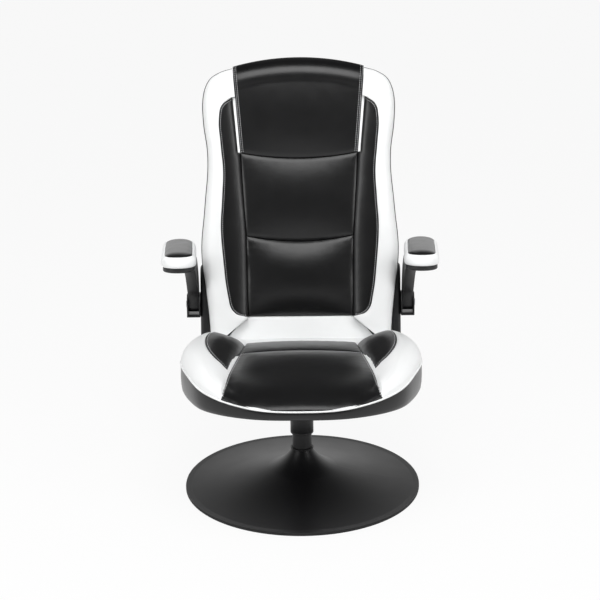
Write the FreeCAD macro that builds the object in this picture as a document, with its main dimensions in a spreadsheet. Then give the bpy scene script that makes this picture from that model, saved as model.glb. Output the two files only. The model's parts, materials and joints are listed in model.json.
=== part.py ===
import FreeCAD, Part
import math
import os
import re
import Sketcher
from FreeCAD import Placement, Rotation, Vector

# Rocker chair with a padded racing-style back, flip-up arms and a swivelling
# trumpet base. Millimetres, +Z up, origin on the floor on the swivel axis. The
# chair faces -Y, so the sitter's left is +X.
#
# Three frames are used. Base and column stand upright. Everything on the seat is
# drawn level in the seat frame, then leaned back by seat_tilt about the rocking
# pivot. The back is drawn upright in the back frame, whose origin is its foot and
# whose Y = 0 plane runs through the padding, and leans back_lean further.

SIZES = {
    # Base
    "base_radius": 305, "rim_height": 6, "rim_width": 15, "dish_wall": 2,
    "dish_flange": 8, "dish_shoulder_radius": 90, "dish_shoulder_height": 49,
    "dish_neck_height": 102, "plate_thickness": 2.5,
    "post_radius": 25, "post_bore": 22, "post_top": 214, "post_cap": 10,
    "flange_radius": 65, "flange_thickness": 6, "flange_bolt_circle": 48,
    "collar_radius": 30, "collar_height": 3.5, "weld_gap": 0.1,
    # Swivel column
    "sleeve_radius": 30, "sleeve_bore": 27, "sleeve_bottom": 151, "sleeve_cap": 220,
    "sleeve_collar_height": 5, "bush_gap": 0.05, "bush_height": 24,
    "bearing_gap": 0.1, "swivel_bolt_radius": 6, "bolt_seat": 228, "bolt_foot": 188,
    "nut_foot": 193,
    # Rocking pivot, measured in the seat frame
    "seat_tilt": 6, "pivot_height": 255, "pin_radius": 7, "pin_half_length": 74,
    "cradle_bottom": 230, "cradle_wall": 5, "cradle_half_width": 61,
    "cradle_half_length": 90, "ear_half_width": 22, "ear_reach": 20,
    "rocker_top": 285, "rocker_wall": 5, "rocker_ear_inside": 63.5,
    "rocker_half_width": 75, "rocker_half_length": 110, "rocker_bush_radius": 10,
    "spring_radius": 13, "spring_wire": 4, "spring_turns": 5, "spring_across": 30,
    "spring_along": 50, "stop_along": 72, "stop_depth": 16, "stop_rear": 26,
    "stop_front": 34,
    # Seat cushion, in the seat frame
    "board_thickness": 12, "cover_thickness": 1, "board_inset": 16,
    "seat_half_width": 300, "seat_front": 372, "seat_rear": 142, "seat_crest": 413,
    "pad_height": 369, "front_pad_reach": 370.5, "pad_seam": -40, "seam_gap": 0.5,
    # Back, in the back frame
    "back_lean": 9, "back_foot_forward": 165, "back_foot_height": 385,
    "back_height": 719, "back_half_width": 259, "bolster_front": 45,
    "bolster_rear": 8, "bolster_round": 27, "shell_rear": 50, "shell_half_width": 243,
    "shell_round": 16, "panel_thickness": 12, "rail_depth": 30, "rail_width": 34,
    "seam_depth": 20, "seam_sag": 15, "crown": 15,
    # Brackets and arms, in the seat frame
    "bracket_inside": 244, "bracket_wall": 6, "bracket_top": 150, "bracket_foot": 110,
    "cover_outside": 266.5, "hinge_along": 185.5, "hinge_height": 451.5,
    "hinge_pin_radius": 6, "hinge_outside": 302, "hinge_wall": 3.4,
    "hinge_half_length": 30, "hinge_floor": 421, "hinge_block_top": 481,
    "post_inside": 270.3, "arm_post_width": 28, "arm_end_radius": 20,
    "tray_bottom": 611, "tray_height": 11.5, "band_height": 26, "arm_top_height": 7,
    "arm_front": -231, "arm_rear": 40, "arm_middle": 297.5, "arm_width": 84,
    "arm_toe_in": 4,
    # Fasteners
    "bolt_radius": 4, "bolt_head_radius": 7, "bolt_head_height": 5.5,
    "screw_radius": 3, "screw_head_radius": 5.5,
}

# Places of bolts and screws: heights in the back frame, then X and Y, then Y.
BACK_BOLT_HEIGHTS = ("105", "135")
FOOT_BOLT_PLACES = (("132", "94"), ("172", "112"))
ARM_SCREW_PLACES = ("0 - 60", "20")

SIDES = {"left": 1, "right": -1}
REACH = 2000

DOC = FreeCAD.newDocument("RockerChair")
NODES = []


def fill_sheet():
    """Puts every driving size in the spreadsheet under its own name."""
    sheet = DOC.addObject("Spreadsheet::Sheet", "Sizes")
    for row, (alias, value) in enumerate(SIZES.items(), 1):
        sheet.set(f"A{row}", alias)
        sheet.set(f"B{row}", str(value))
        sheet.setAlias(f"B{row}", alias)
    DOC.recompute()
    return sheet


SHEET = fill_sheet()


def formula(text):
    """A formula in the plain names of the sizes, as the spreadsheet spells them."""
    return re.sub(r"[a-z_]+", lambda word: "Sizes." * (word[0] in SIZES) + word[0], str(text))


def size(text):
    """The value of such a formula."""
    return float(SHEET.evalExpression(formula(text)))


def node(label, part):
    """Registers a finished sub-part under the name of its file."""
    part.Label = label
    NODES.append(part)
    return part


# Curves


def biarc(start, start_way, end, end_way):
    """Two arcs from start to end that leave and arrive along the given directions."""
    chord = end - start
    ways = start_way + end_way
    slack = 2 * (1 - start_way.dot(end_way))
    along = chord.dot(ways)
    if slack < 1e-9:
        reach = chord.dot(chord) / (4 * chord.dot(start_way))
    else:
        reach = (math.sqrt(along**2 + slack * chord.dot(chord)) - along) / slack
    joint = (start + end + (start_way - end_way) * reach) * 0.5
    middle_way = (end - end_way * reach - start - start_way * reach).normalize()
    return [arc(start, start_way, joint), arc(joint, middle_way, end)]


def arc(start, way, end):
    """The arc that leaves start along way and ends at end, or a line where it is straight."""
    chord = end - start
    across = way - chord * (way.dot(chord) / chord.dot(chord))
    if across.Length < 1e-5:
        return Part.LineSegment(start, end)
    half_turn = math.asin(min(1, across.Length))
    rise = chord.Length / 2 * math.tan(half_turn / 2)
    return Part.Arc(start, (start + end) * 0.5 + across.normalize() * rise, end)


def smooth_line(points, first_way=None, last_way=None):
    """Arcs that run smoothly through the points."""
    points = [Vector(*point) for point in points]
    steps = [(b - a).normalize() for a, b in zip(points, points[1:])]
    ways = [steps[0]] + [(a + b).normalize() for a, b in zip(steps, steps[1:])] + [steps[-1]]
    if first_way:
        ways[0] = Vector(*first_way).normalize()
    if last_way:
        ways[-1] = Vector(*last_way).normalize()
    spans = zip(points, ways, points[1:], ways[1:])
    return [piece for span in spans for piece in biarc(*span)]


def straight_line(points):
    points = [Vector(*point) for point in points]
    return [Part.LineSegment(a, b) for a, b in zip(points, points[1:])]


def mirrored(pieces):
    """The same run on the other side of X = 0, followed backwards."""
    result = []
    for piece in reversed(pieces):
        first, last = piece.FirstParameter, piece.LastParameter
        marks = [piece.value(p) for p in (last, (first + last) / 2, first)]
        marks = [Vector(-mark.x, mark.y, mark.z) for mark in marks]
        line = isinstance(piece, Part.LineSegment)
        result.append(Part.LineSegment(marks[0], marks[2]) if line else Part.Arc(*marks))
    return result


def wire(pieces):
    return Part.Wire([piece.toShape() for piece in pieces])


def prism(pieces, bottom, height):
    """The upright solid of a closed run in plan."""
    face = Part.Face(wire(pieces))
    face.translate(Vector(0, 0, bottom))
    return face.extrude(Vector(0, 0, height))


def front_prism(pieces, rear, front):
    """The solid of a closed run in front view, between two planes across the chair."""
    face = Part.Face(wire(pieces))
    face.Placement = Placement(Vector(0, rear, 0), Rotation(Vector(1, 0, 0), 90))
    return face.extrude(Vector(0, front - rear, 0))


# Bodies, sketches and their features


def body_named(label):
    return DOC.addObject("PartDesign::Body", label)


def sketch_on(body, role, offset=0):
    """A sketch on one of the body's own planes, moved along that plane's normal."""
    sketch = body.newObject("Sketcher::SketchObject", body.Name + "_sketch")
    plane = next(item for item in body.Origin.OriginFeatures if item.Role == role)
    sketch.AttachmentSupport = [(plane, "")]
    sketch.MapMode = "FlatFace"
    sketch.setExpression("AttachmentOffset.Base.z", formula(offset))
    return sketch


def bind_point(sketch, geometry, corner, across, up):
    for kind, place in (("DistanceX", across), ("DistanceY", up)):
        rule = sketch.addConstraint(Sketcher.Constraint(kind, -1, 1, geometry, corner, size(place)))
        sketch.setExpression(f"Constraints[{rule}]", formula(place))


def circle(sketch, across, up, radius):
    """A circle whose centre and radius follow the sheet."""
    centre = Vector(size(across), size(up), 0)
    item = sketch.addGeometry(Part.Circle(centre, Vector(0, 0, 1), size(radius)), False)
    bind_point(sketch, item, 3, across, up)
    rule = sketch.addConstraint(Sketcher.Constraint("Radius", item, size(radius)))
    sketch.setExpression(f"Constraints[{rule}]", formula(radius))


def polygon(sketch, corners):
    """Straight sides between corners that follow the sheet."""
    places = [Vector(size(across), size(up), 0) for across, up in corners]
    count = len(places)
    lines = [Part.LineSegment(places[i], places[(i + 1) % count]) for i in range(count)]
    first = sketch.addGeometry(lines, False)[0]
    for i, (across, up) in enumerate(corners):
        before = first + (i - 1) % count
        sketch.addConstraint(Sketcher.Constraint("Coincident", before, 2, first + i, 1))
        bind_point(sketch, first + i, 1, across, up)


def block(sketch, left, right, low, high):
    polygon(sketch, [(left, low), (right, low), (right, high), (left, high)])


def outline(sketch, pieces):
    """A closed run of arcs and lines that was worked out from the sheet."""
    sketch.addGeometry(pieces, False)


def pad(body, sketch, length, reverse=False):
    feature = body.newObject("PartDesign::Pad", body.Name + "_pad")
    feature.Profile = sketch
    feature.setExpression("Length", formula(length))
    feature.Reversed = reverse
    DOC.recompute()
    return feature


def turn(body, sketch):
    """Turns a sketch on the XZ plane a full circle about the upright axis."""
    feature = body.newObject("PartDesign::Revolution", body.Name + "_turned")
    feature.Profile = sketch
    feature.ReferenceAxis = (sketch, ["V_Axis"])
    feature.Angle = 360
    DOC.recompute()
    return feature


def cut(body, sketch, length=None, reverse=False):
    """Cuts a sketch out of its body, right through both ways where no length is given."""
    before = body.Shape.Volume
    feature = body.newObject("PartDesign::Pocket", body.Name + "_cut")
    feature.Profile = sketch
    feature.Reversed = reverse
    if length is None:
        feature.Type = "ThroughAll"
        feature.Midplane = True
    else:
        feature.setExpression("Length", formula(length))
    DOC.recompute()
    if not body.Shape.Volume < before - 1:
        raise ValueError(f"{body.Label}: a cut removes nothing")
    return feature


def ring_of(body, feature, count):
    """Repeats a feature around the upright axis."""
    pattern = body.newObject("PartDesign::PolarPattern", body.Name + "_pattern")
    pattern.Originals = [feature]
    pattern.Axis = (next(o for o in body.Origin.OriginFeatures if o.Role == "Z_Axis"), [""])
    pattern.Occurrences = count
    pattern.Angle = 360
    body.Tip = pattern
    DOC.recompute()


def round_edges(body, feature, radius, wanted):
    """Rounds the edges whose middle passes the test."""
    names = []
    for number, edge in enumerate(feature.Shape.Edges, 1):
        middle = edge.valueAt((edge.FirstParameter + edge.LastParameter) / 2)
        if wanted(middle, edge):
            names.append(f"Edge{number}")
    fillet = body.newObject("PartDesign::Fillet", body.Name + "_round")
    fillet.Base = (feature, names)
    fillet.setExpression("Radius", formula(radius))
    DOC.recompute()
    return fillet


# Primitives


def cylinder(radius, bottom, height, across=0, along=0):
    """An upright cylinder whose sizes and place follow the sheet."""
    item = DOC.addObject("Part::Cylinder", "cylinder")
    item.setExpression("Radius", formula(radius))
    item.setExpression("Height", formula(height))
    for axis, place in zip("xyz", (across, along, bottom)):
        item.setExpression("Placement.Base." + axis, formula(place))
    return item


def lying_cylinder(radius, start, length, along, height):
    """A cylinder along +X."""
    item = cylinder(radius, height, length, start, along)
    item.Placement.Rotation = Rotation(Vector(0, 1, 0), 90)
    return item


def less(body, *tools):
    for tool in tools:
        result = DOC.addObject("Part::Cut", "less")
        result.Base, result.Tool = body, tool
        body = result
    return body


def joined(*parts):
    result = DOC.addObject("Part::MultiFuse", "joined")
    result.Shapes = list(parts)
    return result


def group(parts):
    """Separate solids that share one node."""
    result = DOC.addObject("Part::Compound", "group")
    result.Links = list(parts)
    return result


def ring(outer, inner, bottom, height):
    return less(cylinder(outer, bottom, height), cylinder(inner, f"{bottom} - 1", f"{height} + 2"))


def hex_prism(radius, bottom, height, across=0, along=0):
    item = DOC.addObject("Part::Prism", "hexagon")
    item.Polygon = 6
    item.setExpression("Circumradius", formula(radius))
    item.setExpression("Height", formula(height))
    for axis, place in zip("xyz", (across, along, bottom)):
        item.setExpression("Placement.Base." + axis, formula(place))
    return item


def largest(shape):
    """The main solid of a cut, without the splinters beside it."""
    return max(shape.Solids, key=lambda solid: solid.Volume)


def solid_part(shape):
    """A sub-part whose shape comes from curves that the feature tools don't make."""
    item = DOC.addObject("Part::Feature", "shaped")
    item.Shape = shape
    return item


def lean_with_seat(part):
    """Leans a part that is drawn in the seat frame."""
    part.Placement = Placement(Vector(), Rotation(Vector(-1, 0, 0), size("seat_tilt")))
    part.setExpression("Placement.Rotation.Angle", formula("seat_tilt"))
    part.setExpression("Placement.Base.y", formula("0 - pivot_height * sin(seat_tilt)"))
    part.setExpression("Placement.Base.z", formula("pivot_height * (1 - cos(seat_tilt))"))
    return part


def lean_with_back(part):
    """Leans a part that is drawn in the back frame."""
    turned = "seat_tilt + back_lean"
    rise = "(back_foot_height - pivot_height)"
    part.Placement = Placement(Vector(), Rotation(Vector(-1, 0, 0), size(turned)))
    part.setExpression("Placement.Rotation.Angle", formula(turned))
    part.setExpression("Placement.Base.y", formula(
        f"back_foot_forward * cos(seat_tilt) + {rise} * sin(seat_tilt)"))
    part.setExpression("Placement.Base.z", formula(
        f"pivot_height + {rise} * cos(seat_tilt) - back_foot_forward * sin(seat_tilt)"))
    return part


# Base


def base_dish():
    """Spun steel trumpet: steep at the post, nearly flat at the rim, one wall thick."""
    body = body_named("base_dish")
    wall, neck = size("dish_wall"), size("dish_neck_height")
    shoulder = Vector(size("dish_shoulder_radius"), size("dish_shoulder_height"), 0)
    inner_neck = Vector(size("post_radius + weld_gap"), neck, 0)
    outer_neck = Vector(inner_neck.x + wall, neck, 0)
    flange_start = Vector(size("base_radius - rim_width"), size("dish_flange"), 0)
    slope = Vector(1, -0.34, 0).normalize()
    down = Vector(slope.y, -slope.x, 0) * wall
    outer = [arc(shoulder, slope * -1, outer_neck), arc(shoulder, slope, flange_start)]
    drop = Vector(0, -wall, 0)
    inner = [arc(shoulder + down, slope * -1, inner_neck),
             arc(shoulder + down, slope, flange_start + drop)]
    rim = Vector(size("base_radius - 0.5"), size("dish_flange"), 0)
    lines = straight_line([inner_neck, outer_neck]) + straight_line(
        [flange_start, rim, rim + drop, flange_start + drop])
    sketch = sketch_on(body, "XZ_Plane")
    outline(sketch, outer + inner + lines)
    turn(body, sketch)
    return node("base_dish", body)


def base_plate():
    """Steel disc that weighs the base down, bolted under the post flange."""
    body = body_named("base_plate")
    sketch = sketch_on(body, "XY_Plane", "rim_height - plate_thickness")
    circle(sketch, 0, 0, "base_radius - rim_width - weld_gap")
    pad(body, sketch, "plate_thickness")
    holes = sketch_on(body, "XY_Plane", "rim_height")
    circle(holes, "flange_bolt_circle", 0, "bolt_radius + weld_gap")
    ring_of(body, cut(body, holes, "plate_thickness + 1"), 4)
    return node("base_plate", body)


def post_flange():
    """Disc welded round the foot of the post."""
    body = body_named("post_flange")
    sketch = sketch_on(body, "XY_Plane", "rim_height")
    circle(sketch, 0, 0, "flange_radius")
    circle(sketch, 0, 0, "post_radius + weld_gap")
    pad(body, sketch, "flange_thickness")
    holes = sketch_on(body, "XY_Plane", "rim_height + flange_thickness")
    circle(holes, "flange_bolt_circle", 0, "bolt_radius + weld_gap")
    ring_of(body, cut(body, holes, "flange_thickness + 1"), 4)
    return node("post_flange", body)


def base_post():
    """Tube of the base with a thick top that carries the swivel."""
    body = body_named("base_post")
    sketch = sketch_on(body, "XZ_Plane")
    hole, cap = "swivel_bolt_radius + weld_gap", "post_top - post_cap"
    polygon(sketch, [("post_bore", "rim_height"), ("post_radius", "rim_height"),
                     ("post_radius", "post_top"), (hole, "post_top"), (hole, cap),
                     ("post_bore", cap)])
    turn(body, sketch)
    return node("base_post", body)


def upright_bolts(places, head_bottom, shank_bottom, shank_length):
    """Hexagon bolts that stand at the given places."""
    bolts = []
    for across, along in places:
        head = hex_prism("bolt_head_radius", head_bottom, "bolt_head_height", across, along)
        shank = cylinder("bolt_radius", shank_bottom, shank_length, across, along)
        bolts.append(joined(head, shank))
    return bolts


def make_base():
    base_dish()
    base_plate()
    node("base_rim_trim", ring("base_radius", "base_radius - rim_width", 0, "rim_height"))
    base_post()
    post_flange()
    reach = "flange_bolt_circle"
    places = [(reach, 0), (0, reach), (f"0 - {reach}", 0), (0, f"0 - {reach}")]
    depth = "flange_thickness + plate_thickness"
    node("base_bolts", group(upright_bolts(places, "rim_height + flange_thickness",
                                           "rim_height - plate_thickness", depth)))
    node("post_collar", ring("collar_radius", "post_radius + weld_gap", "dish_neck_height",
                             "collar_height"))
    node("thrust_bearing", ring("post_radius - 1", "swivel_bolt_radius + 3", "post_top",
                                "sleeve_cap - post_top - bearing_gap"))


# Swivel column


def swivel_sleeve():
    """Outer tube of the swivel. Its thick top is cut at the lean of the seat."""
    body = body_named("swivel_sleeve")
    sketch = sketch_on(body, "XZ_Plane")
    hole, slant_height = "swivel_bolt_radius + weld_gap", (
        "pivot_height - (pivot_height - cradle_bottom) / cos(seat_tilt)")
    top = "cradle_bottom + sleeve_radius"
    polygon(sketch, [("sleeve_bore", "sleeve_bottom"), ("sleeve_radius", "sleeve_bottom"),
                     ("sleeve_radius", top), (hole, top), (hole, "sleeve_cap"),
                     ("sleeve_bore", "sleeve_cap")])
    turn(body, sketch)
    slant = sketch_on(body, "YZ_Plane")
    rise = "sleeve_radius * 2 * tan(seat_tilt)"
    polygon(slant, [("0 - sleeve_radius * 2", f"{slant_height} + {rise}"),
                    ("sleeve_radius * 2", f"{slant_height} - {rise}"),
                    ("sleeve_radius * 2", "cradle_bottom + sleeve_radius * 2"),
                    ("0 - sleeve_radius * 2", "cradle_bottom + sleeve_radius * 2")])
    cut(body, slant)
    seat = sketch_on(body, "XY_Plane", "bolt_seat")
    circle(seat, 0, 0, "swivel_bolt_radius * 2")
    cut(body, seat, "sleeve_radius", reverse=True)
    return node("swivel_sleeve", body)


def cradle():
    """Folded steel channel on the column. Its ears hold the rocking pin."""
    body = body_named("cradle")
    ear_top = "pivot_height + ear_reach"
    inside, floor = "cradle_half_width - cradle_wall", "cradle_bottom + cradle_wall"
    sketch = sketch_on(body, "XZ_Plane", "0 - cradle_half_length")
    polygon(sketch, [("0 - cradle_half_width", "cradle_bottom"),
                     ("cradle_half_width", "cradle_bottom"), ("cradle_half_width", ear_top),
                     (inside, ear_top), (inside, floor), (f"0 - ({inside})", floor),
                     (f"0 - ({inside})", ear_top), ("0 - cradle_half_width", ear_top)])
    pad(body, sketch, "cradle_half_length * 2")
    for sign in ("", "0 - "):
        side = sketch_on(body, "YZ_Plane")
        polygon(side, [(f"{sign}ear_half_width", ear_top), (f"{sign}(ear_half_width + 14)", floor),
                       (f"{sign}(cradle_half_length + 5)", floor),
                       (f"{sign}(cradle_half_length + 5)", f"{ear_top} + 5"),
                       (f"{sign}ear_half_width", f"{ear_top} + 5")])
        feature = cut(body, side)
    top = size(ear_top)
    feature = round_edges(body, feature, "ear_reach * 0.7", lambda middle, edge: (
        abs(middle.z - top) < 1e-3 and abs(abs(middle.y) - size("ear_half_width")) < 1e-3))
    pin = sketch_on(body, "YZ_Plane")
    circle(pin, 0, "pivot_height", "pin_radius + bush_gap / 2")
    cut(body, pin)
    room = sketch_on(body, "XY_Plane", floor)
    circle(room, 0, 0, "swivel_bolt_radius * 2 + 2")
    cut(body, room, "cradle_wall + 1")
    return node("cradle", lean_with_seat(body))


def rock_stops():
    """Rubber blocks on the cradle that end the rocking, taller at the front."""
    blocks = []
    for along, height in (("stop_along", "stop_rear"), ("0 - stop_along - stop_depth", "stop_front")):
        item = DOC.addObject("Part::Box", "stop")
        for side, length in (("Length", "spring_across"), ("Width", "stop_depth"), ("Height", height)):
            item.setExpression(side, formula(length))
        places = ("0 - spring_across / 2", along, "cradle_bottom + cradle_wall")
        for axis, place in zip("xyz", places):
            item.setExpression("Placement.Base." + axis, formula(place))
        blocks.append(item)
    return node("rock_stops", lean_with_seat(group(blocks)))


def coil(across, along):
    """One compression spring, a round wire along quarter turns."""
    radius, turns, wire_radius = size("spring_radius"), size("spring_turns"), size("spring_wire / 2")
    low = size("cradle_bottom + cradle_wall + spring_wire / 2")
    rise = size("rocker_top - rocker_wall - cradle_bottom - cradle_wall - spring_wire")
    quarters = round(turns * 4)

    def place(step):
        angle = step * math.pi / 2
        return Vector(across + radius * math.cos(angle), along + radius * math.sin(angle),
                      low + rise * step / quarters)

    def way(step):
        angle = step * math.pi / 2
        climb = rise / (quarters * math.pi / 2)
        return Vector(-radius * math.sin(angle), radius * math.cos(angle), climb).normalize()

    path = [piece for step in range(quarters)
            for piece in biarc(place(step), way(step), place(step + 1), way(step + 1))]
    section = Part.Wire(Part.Circle(place(0), way(0), wire_radius).toShape())
    shape = wire(path).makePipeShell([section], True, False)
    return shape, [piece.value(piece.FirstParameter) for piece in path]


def rock_springs():
    """Four coil springs between cradle and rocker plate hold the seat level."""
    coils = []
    for across in (-1, 1):
        for along in (-1, 1):
            shape, marks = coil(across * size("spring_across"), along * size("spring_along"))
            coils.append(shape)
    turn_marks = 8
    pairs = ((a, b) for i, a in enumerate(marks) for b in marks[i + turn_marks - 1:])
    gap = min(a.distanceToPoint(b) for a, b in pairs) - size("spring_wire")
    print(f"rock_springs: least gap of a coil to itself {gap:.2f} mm")
    return node("rock_springs", lean_with_seat(solid_part(Part.makeCompound(coils))))


def make_column():
    swivel_sleeve()
    node("sleeve_collar", ring("sleeve_radius", "post_radius + 0.4",
                               "sleeve_bottom - sleeve_collar_height", "sleeve_collar_height"))
    for name, bottom in (("lower", "sleeve_bottom + 4"), ("upper", "post_top - 2 - bush_height")):
        node("swivel_bush_" + name, ring("sleeve_bore - bush_gap", "post_radius + bush_gap",
                                         bottom, "bush_height"))
    head = hex_prism("swivel_bolt_radius * 1.6", "bolt_seat", "swivel_bolt_radius")
    shank = cylinder("swivel_bolt_radius", "bolt_foot", "bolt_seat - bolt_foot")
    node("swivel_bolt", joined(head, shank))
    nut = hex_prism("swivel_bolt_radius * 1.6", "nut_foot", "post_top - post_cap - nut_foot - 0.5")
    node("swivel_nut", less(nut, cylinder("swivel_bolt_radius", "nut_foot - 1", "post_cap * 2")))
    cradle()
    node("pivot_pin", lean_with_seat(group([lying_cylinder(
        "pin_radius", "0 - pin_half_length", "pin_half_length * 2", 0, "pivot_height")])))
    clips = []
    for start in ("pin_half_length - 4", "2 - pin_half_length"):
        clips.append(less(lying_cylinder("pin_radius * 1.5", start, 2, 0, "pivot_height"),
                          lying_cylinder("pin_radius + 0.01", f"{start} - 1", 4, 0, "pivot_height")))
    node("pivot_clips", lean_with_seat(group(clips)))
    rock_stops()
    rock_springs()


# Seat


def rocker_plate():
    """Steel plate under the seat board whose ears hang on the rocking pin."""
    body = body_named("rocker_plate")
    under, low = "rocker_top - rocker_wall", "pivot_height - ear_reach"
    inside, outside = "rocker_ear_inside", "rocker_ear_inside + rocker_wall"
    half = [("rocker_half_width", under), (outside, under), (outside, low), (inside, low),
            (inside, under)]
    corners = [("rocker_half_width", "rocker_top")] + half
    corners += [(f"0 - ({across})", up) for across, up in reversed(corners)]
    sketch = sketch_on(body, "XZ_Plane", "0 - rocker_half_length")
    polygon(sketch, corners)
    pad(body, sketch, "rocker_half_length * 2")
    for sign in ("", "0 - "):
        side = sketch_on(body, "YZ_Plane")
        polygon(side, [(f"{sign}ear_half_width", low), (f"{sign}(ear_half_width + 14)", under),
                       (f"{sign}(rocker_half_length + 5)", under),
                       (f"{sign}(rocker_half_length + 5)", f"{low} - 5"),
                       (f"{sign}ear_half_width", f"{low} - 5")])
        feature = cut(body, side)
    bottom = size(low)
    round_edges(body, feature, "ear_reach * 0.7", lambda middle, edge: (
        abs(middle.z - bottom) < 1e-3 and abs(abs(middle.y) - size("ear_half_width")) < 1e-3))
    bores = sketch_on(body, "YZ_Plane")
    circle(bores, 0, "pivot_height", "rocker_bush_radius")
    cut(body, bores)
    for across, along in rocker_bolt_places():
        hole = sketch_on(body, "XY_Plane", "rocker_top")
        circle(hole, across, along, "bolt_radius + weld_gap")
        cut(body, hole, "rocker_wall + 1")
    return node("rocker_plate", lean_with_seat(body))


def rocker_bolt_places():
    across, along = "rocker_half_width - 15", "rocker_half_length - 15"
    return [(f"{a}({across})", f"{b}({along})") for a in ("", "0 - ") for b in ("", "0 - ")]


def foot_bolt_places():
    return [(f"{side} * {across}", along) for side in SIDES.values()
            for across, along in FOOT_BOLT_PLACES]


def pivot_bushes():
    """Flanged plastic bushes in the ears of the rocker plate."""
    bushes = []
    for side in (1, -1):
        face, gap = "rocker_ear_inside", "pin_radius + bush_gap"
        start = face if side > 0 else f"0 - {face} - rocker_wall"
        flange = f"{face} - 2" if side > 0 else f"0 - {face}"
        barrel = lying_cylinder("rocker_bush_radius - 0.01", start, "rocker_wall", 0, "pivot_height")
        rim = lying_cylinder("rocker_bush_radius + 3", flange, 2, 0, "pivot_height")
        bore = lying_cylinder(gap, "0 - pin_half_length", "pin_half_length * 2", 0, "pivot_height")
        bushes.append(less(joined(barrel, rim), bore))
    return node("pivot_bushes", lean_with_seat(group(bushes)))


def seat_stations():
    """Sections across the seat from rear to front, as seat_section draws them."""
    wide, crest, flat = size("seat_half_width"), size("seat_crest"), size("pad_height")
    front, rear, low = -size("seat_front"), size("seat_rear"), size("rocker_top")
    # Along, half width, bottom, piping height, then across and height of the bolster's
    # crest and of the edge of the centre pads, then the height of their crown.
    return [
        (rear, wide - 66, low, low + 72, 200, crest - 46, 143, flat - 6, flat - 3),
        (96, wide - 58, low, low + 77, 212, crest - 32, 143, flat - 2, flat + 3),
        (32, wide - 41, low, low + 81, 224, crest - 3, 146, flat, flat + 6),
        (-30, wide - 12, low, low + 82, 234, crest, 155, flat, flat + 7),
        (-85, wide, low, low + 81, 240, crest - 6, 163, flat - 1, flat + 7),
        (-150, wide - 9, low, low + 77, 239, crest - 15, 171, flat - 3, flat + 6),
        (-215, wide - 29, low, low + 70, 228, crest - 27, 179, flat - 6, flat + 4),
        (-270, wide - 53, low, low + 61, 211, crest - 43, 178, flat - 13, flat - 2),
        (-312, wide - 88, low, low + 50, 181, crest - 62, 150, flat - 22, flat - 14),
        (-342, wide - 136, low + 1, low + 41, 142, crest - 80, 112, flat - 34, flat - 29),
        (front, wide - 222, low + 5, low + 29, 66, crest - 97, 50, flat - 52, flat - 50),
    ]


def seat_section(along, wide, low, edge, crest_across, crest, pad_across, pad_edge, crown):
    """Closed section across the seat, from the skirt over the bolsters and the pads."""
    def at(across, up):
        return Vector(across, along, up)

    bottom = wide - 4
    shoulder = at(wide - 0.2 * (wide - crest_across), edge + 0.72 * (crest - edge))
    saddle = at(0.45 * crest_across + 0.55 * pad_across, 0.62 * crest + 0.38 * pad_edge)
    right = [Part.LineSegment(at(bottom, low), at(wide, edge)),
             Part.Arc(at(wide, edge), shoulder, at(crest_across, crest)),
             Part.Arc(at(crest_across, crest), saddle, at(pad_across, pad_edge))]
    top = [Part.Arc(at(pad_across, pad_edge), at(0, crown), at(-pad_across, pad_edge))]
    floor = [Part.LineSegment(at(-bottom, low), at(bottom, low))]
    return wire(right + top + mirrored(right) + floor)


def seat_whole():
    """The upholstered seat in one piece, before the seams divide it."""
    return Part.makeLoft([seat_section(*row) for row in seat_stations()], True, False)


def seat_plan(inset):
    """Closed plan outline of the seat board."""
    half = [(0, 20 - size("seat_front"), 0), (110, -338, 0), (176, -304, 0), (228, -256, 0),
            (262, -180, 0), (278, -90, 0), (256, 0, 0), (232, 70, 0), (222, size("seat_rear") - 4, 0)]
    shrink = 1 - inset / size("seat_half_width")
    half = [(x * shrink, y * shrink, z) for x, y, z in half]
    side = smooth_line(half, first_way=(1, 0, 0))
    rear = straight_line([half[-1], (-half[-1][0], half[-1][1], 0)])
    return side + rear + mirrored(side)


def under_seat_layer(label, inset, bottom, thickness):
    """A flat layer under the cushion, drilled for the bolts."""
    body = body_named(label)
    sketch = sketch_on(body, "XY_Plane", bottom)
    outline(sketch, seat_plan(inset))
    pad(body, sketch, thickness)
    for across, along in rocker_bolt_places() + foot_bolt_places():
        hole = sketch_on(body, "XY_Plane", bottom)
        circle(hole, across, along, "bolt_radius + weld_gap")
        cut(body, hole)
    return node(label, lean_with_seat(body))


def seam_prism(pieces):
    """Upright cutter of a seam outline, from below the pads to above the crest."""
    low, high = size("rocker_top + board_thickness + cover_thickness"), size("seat_crest + 60")
    return prism(pieces, low, high - low)


def under_piping():
    """Everything below the piping line, as one block across the seat."""
    front, rear = -size("seat_front") - 20, size("seat_rear") + 20
    low = size("rocker_top")
    line = smooth_line([(front, low + 22, 0), (-355, low + 32, 0), (-240, low + 63, 0),
                        (-110, low + 76, 0), (rear, low + 76, 0)], last_way=(1, 0, 0))
    walls = straight_line([(rear, low + 76, 0), (rear, low - 20, 0), (front, low - 20, 0),
                           (front, low + 22, 0)])
    upright = Rotation(Vector(1, 1, 1), 120)
    face = Part.Face(wire(line + walls))
    face.Placement = Placement(Vector(-REACH / 2, 0, 0), upright)
    return face.extrude(Vector(REACH, 0, 0))


def pad_corners():
    """Half width of the centre pads at the rear, at their seam and at the front."""
    return (142.5, 84), (156, size("pad_seam")), (187, -size("front_pad_reach") + 47.5)


def front_pad_outline(gap):
    _, seam, front = pad_corners()
    reach = size("front_pad_reach")
    half_front = smooth_line([(0, gap - reach, 0), (78, gap - reach + 4.5, 0),
                              (146, gap - reach + 23, 0), (front[0] - gap, front[1] + gap, 0)],
                             first_way=(1, 0, 0))
    side = straight_line([(front[0] - gap, front[1] + gap, 0), (seam[0] - gap, seam[1] - gap, 0)])
    back = straight_line([(seam[0] - gap, seam[1] - gap, 0), (gap - seam[0], seam[1] - gap, 0)])
    return half_front + side + back + mirrored(half_front + side)


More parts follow.
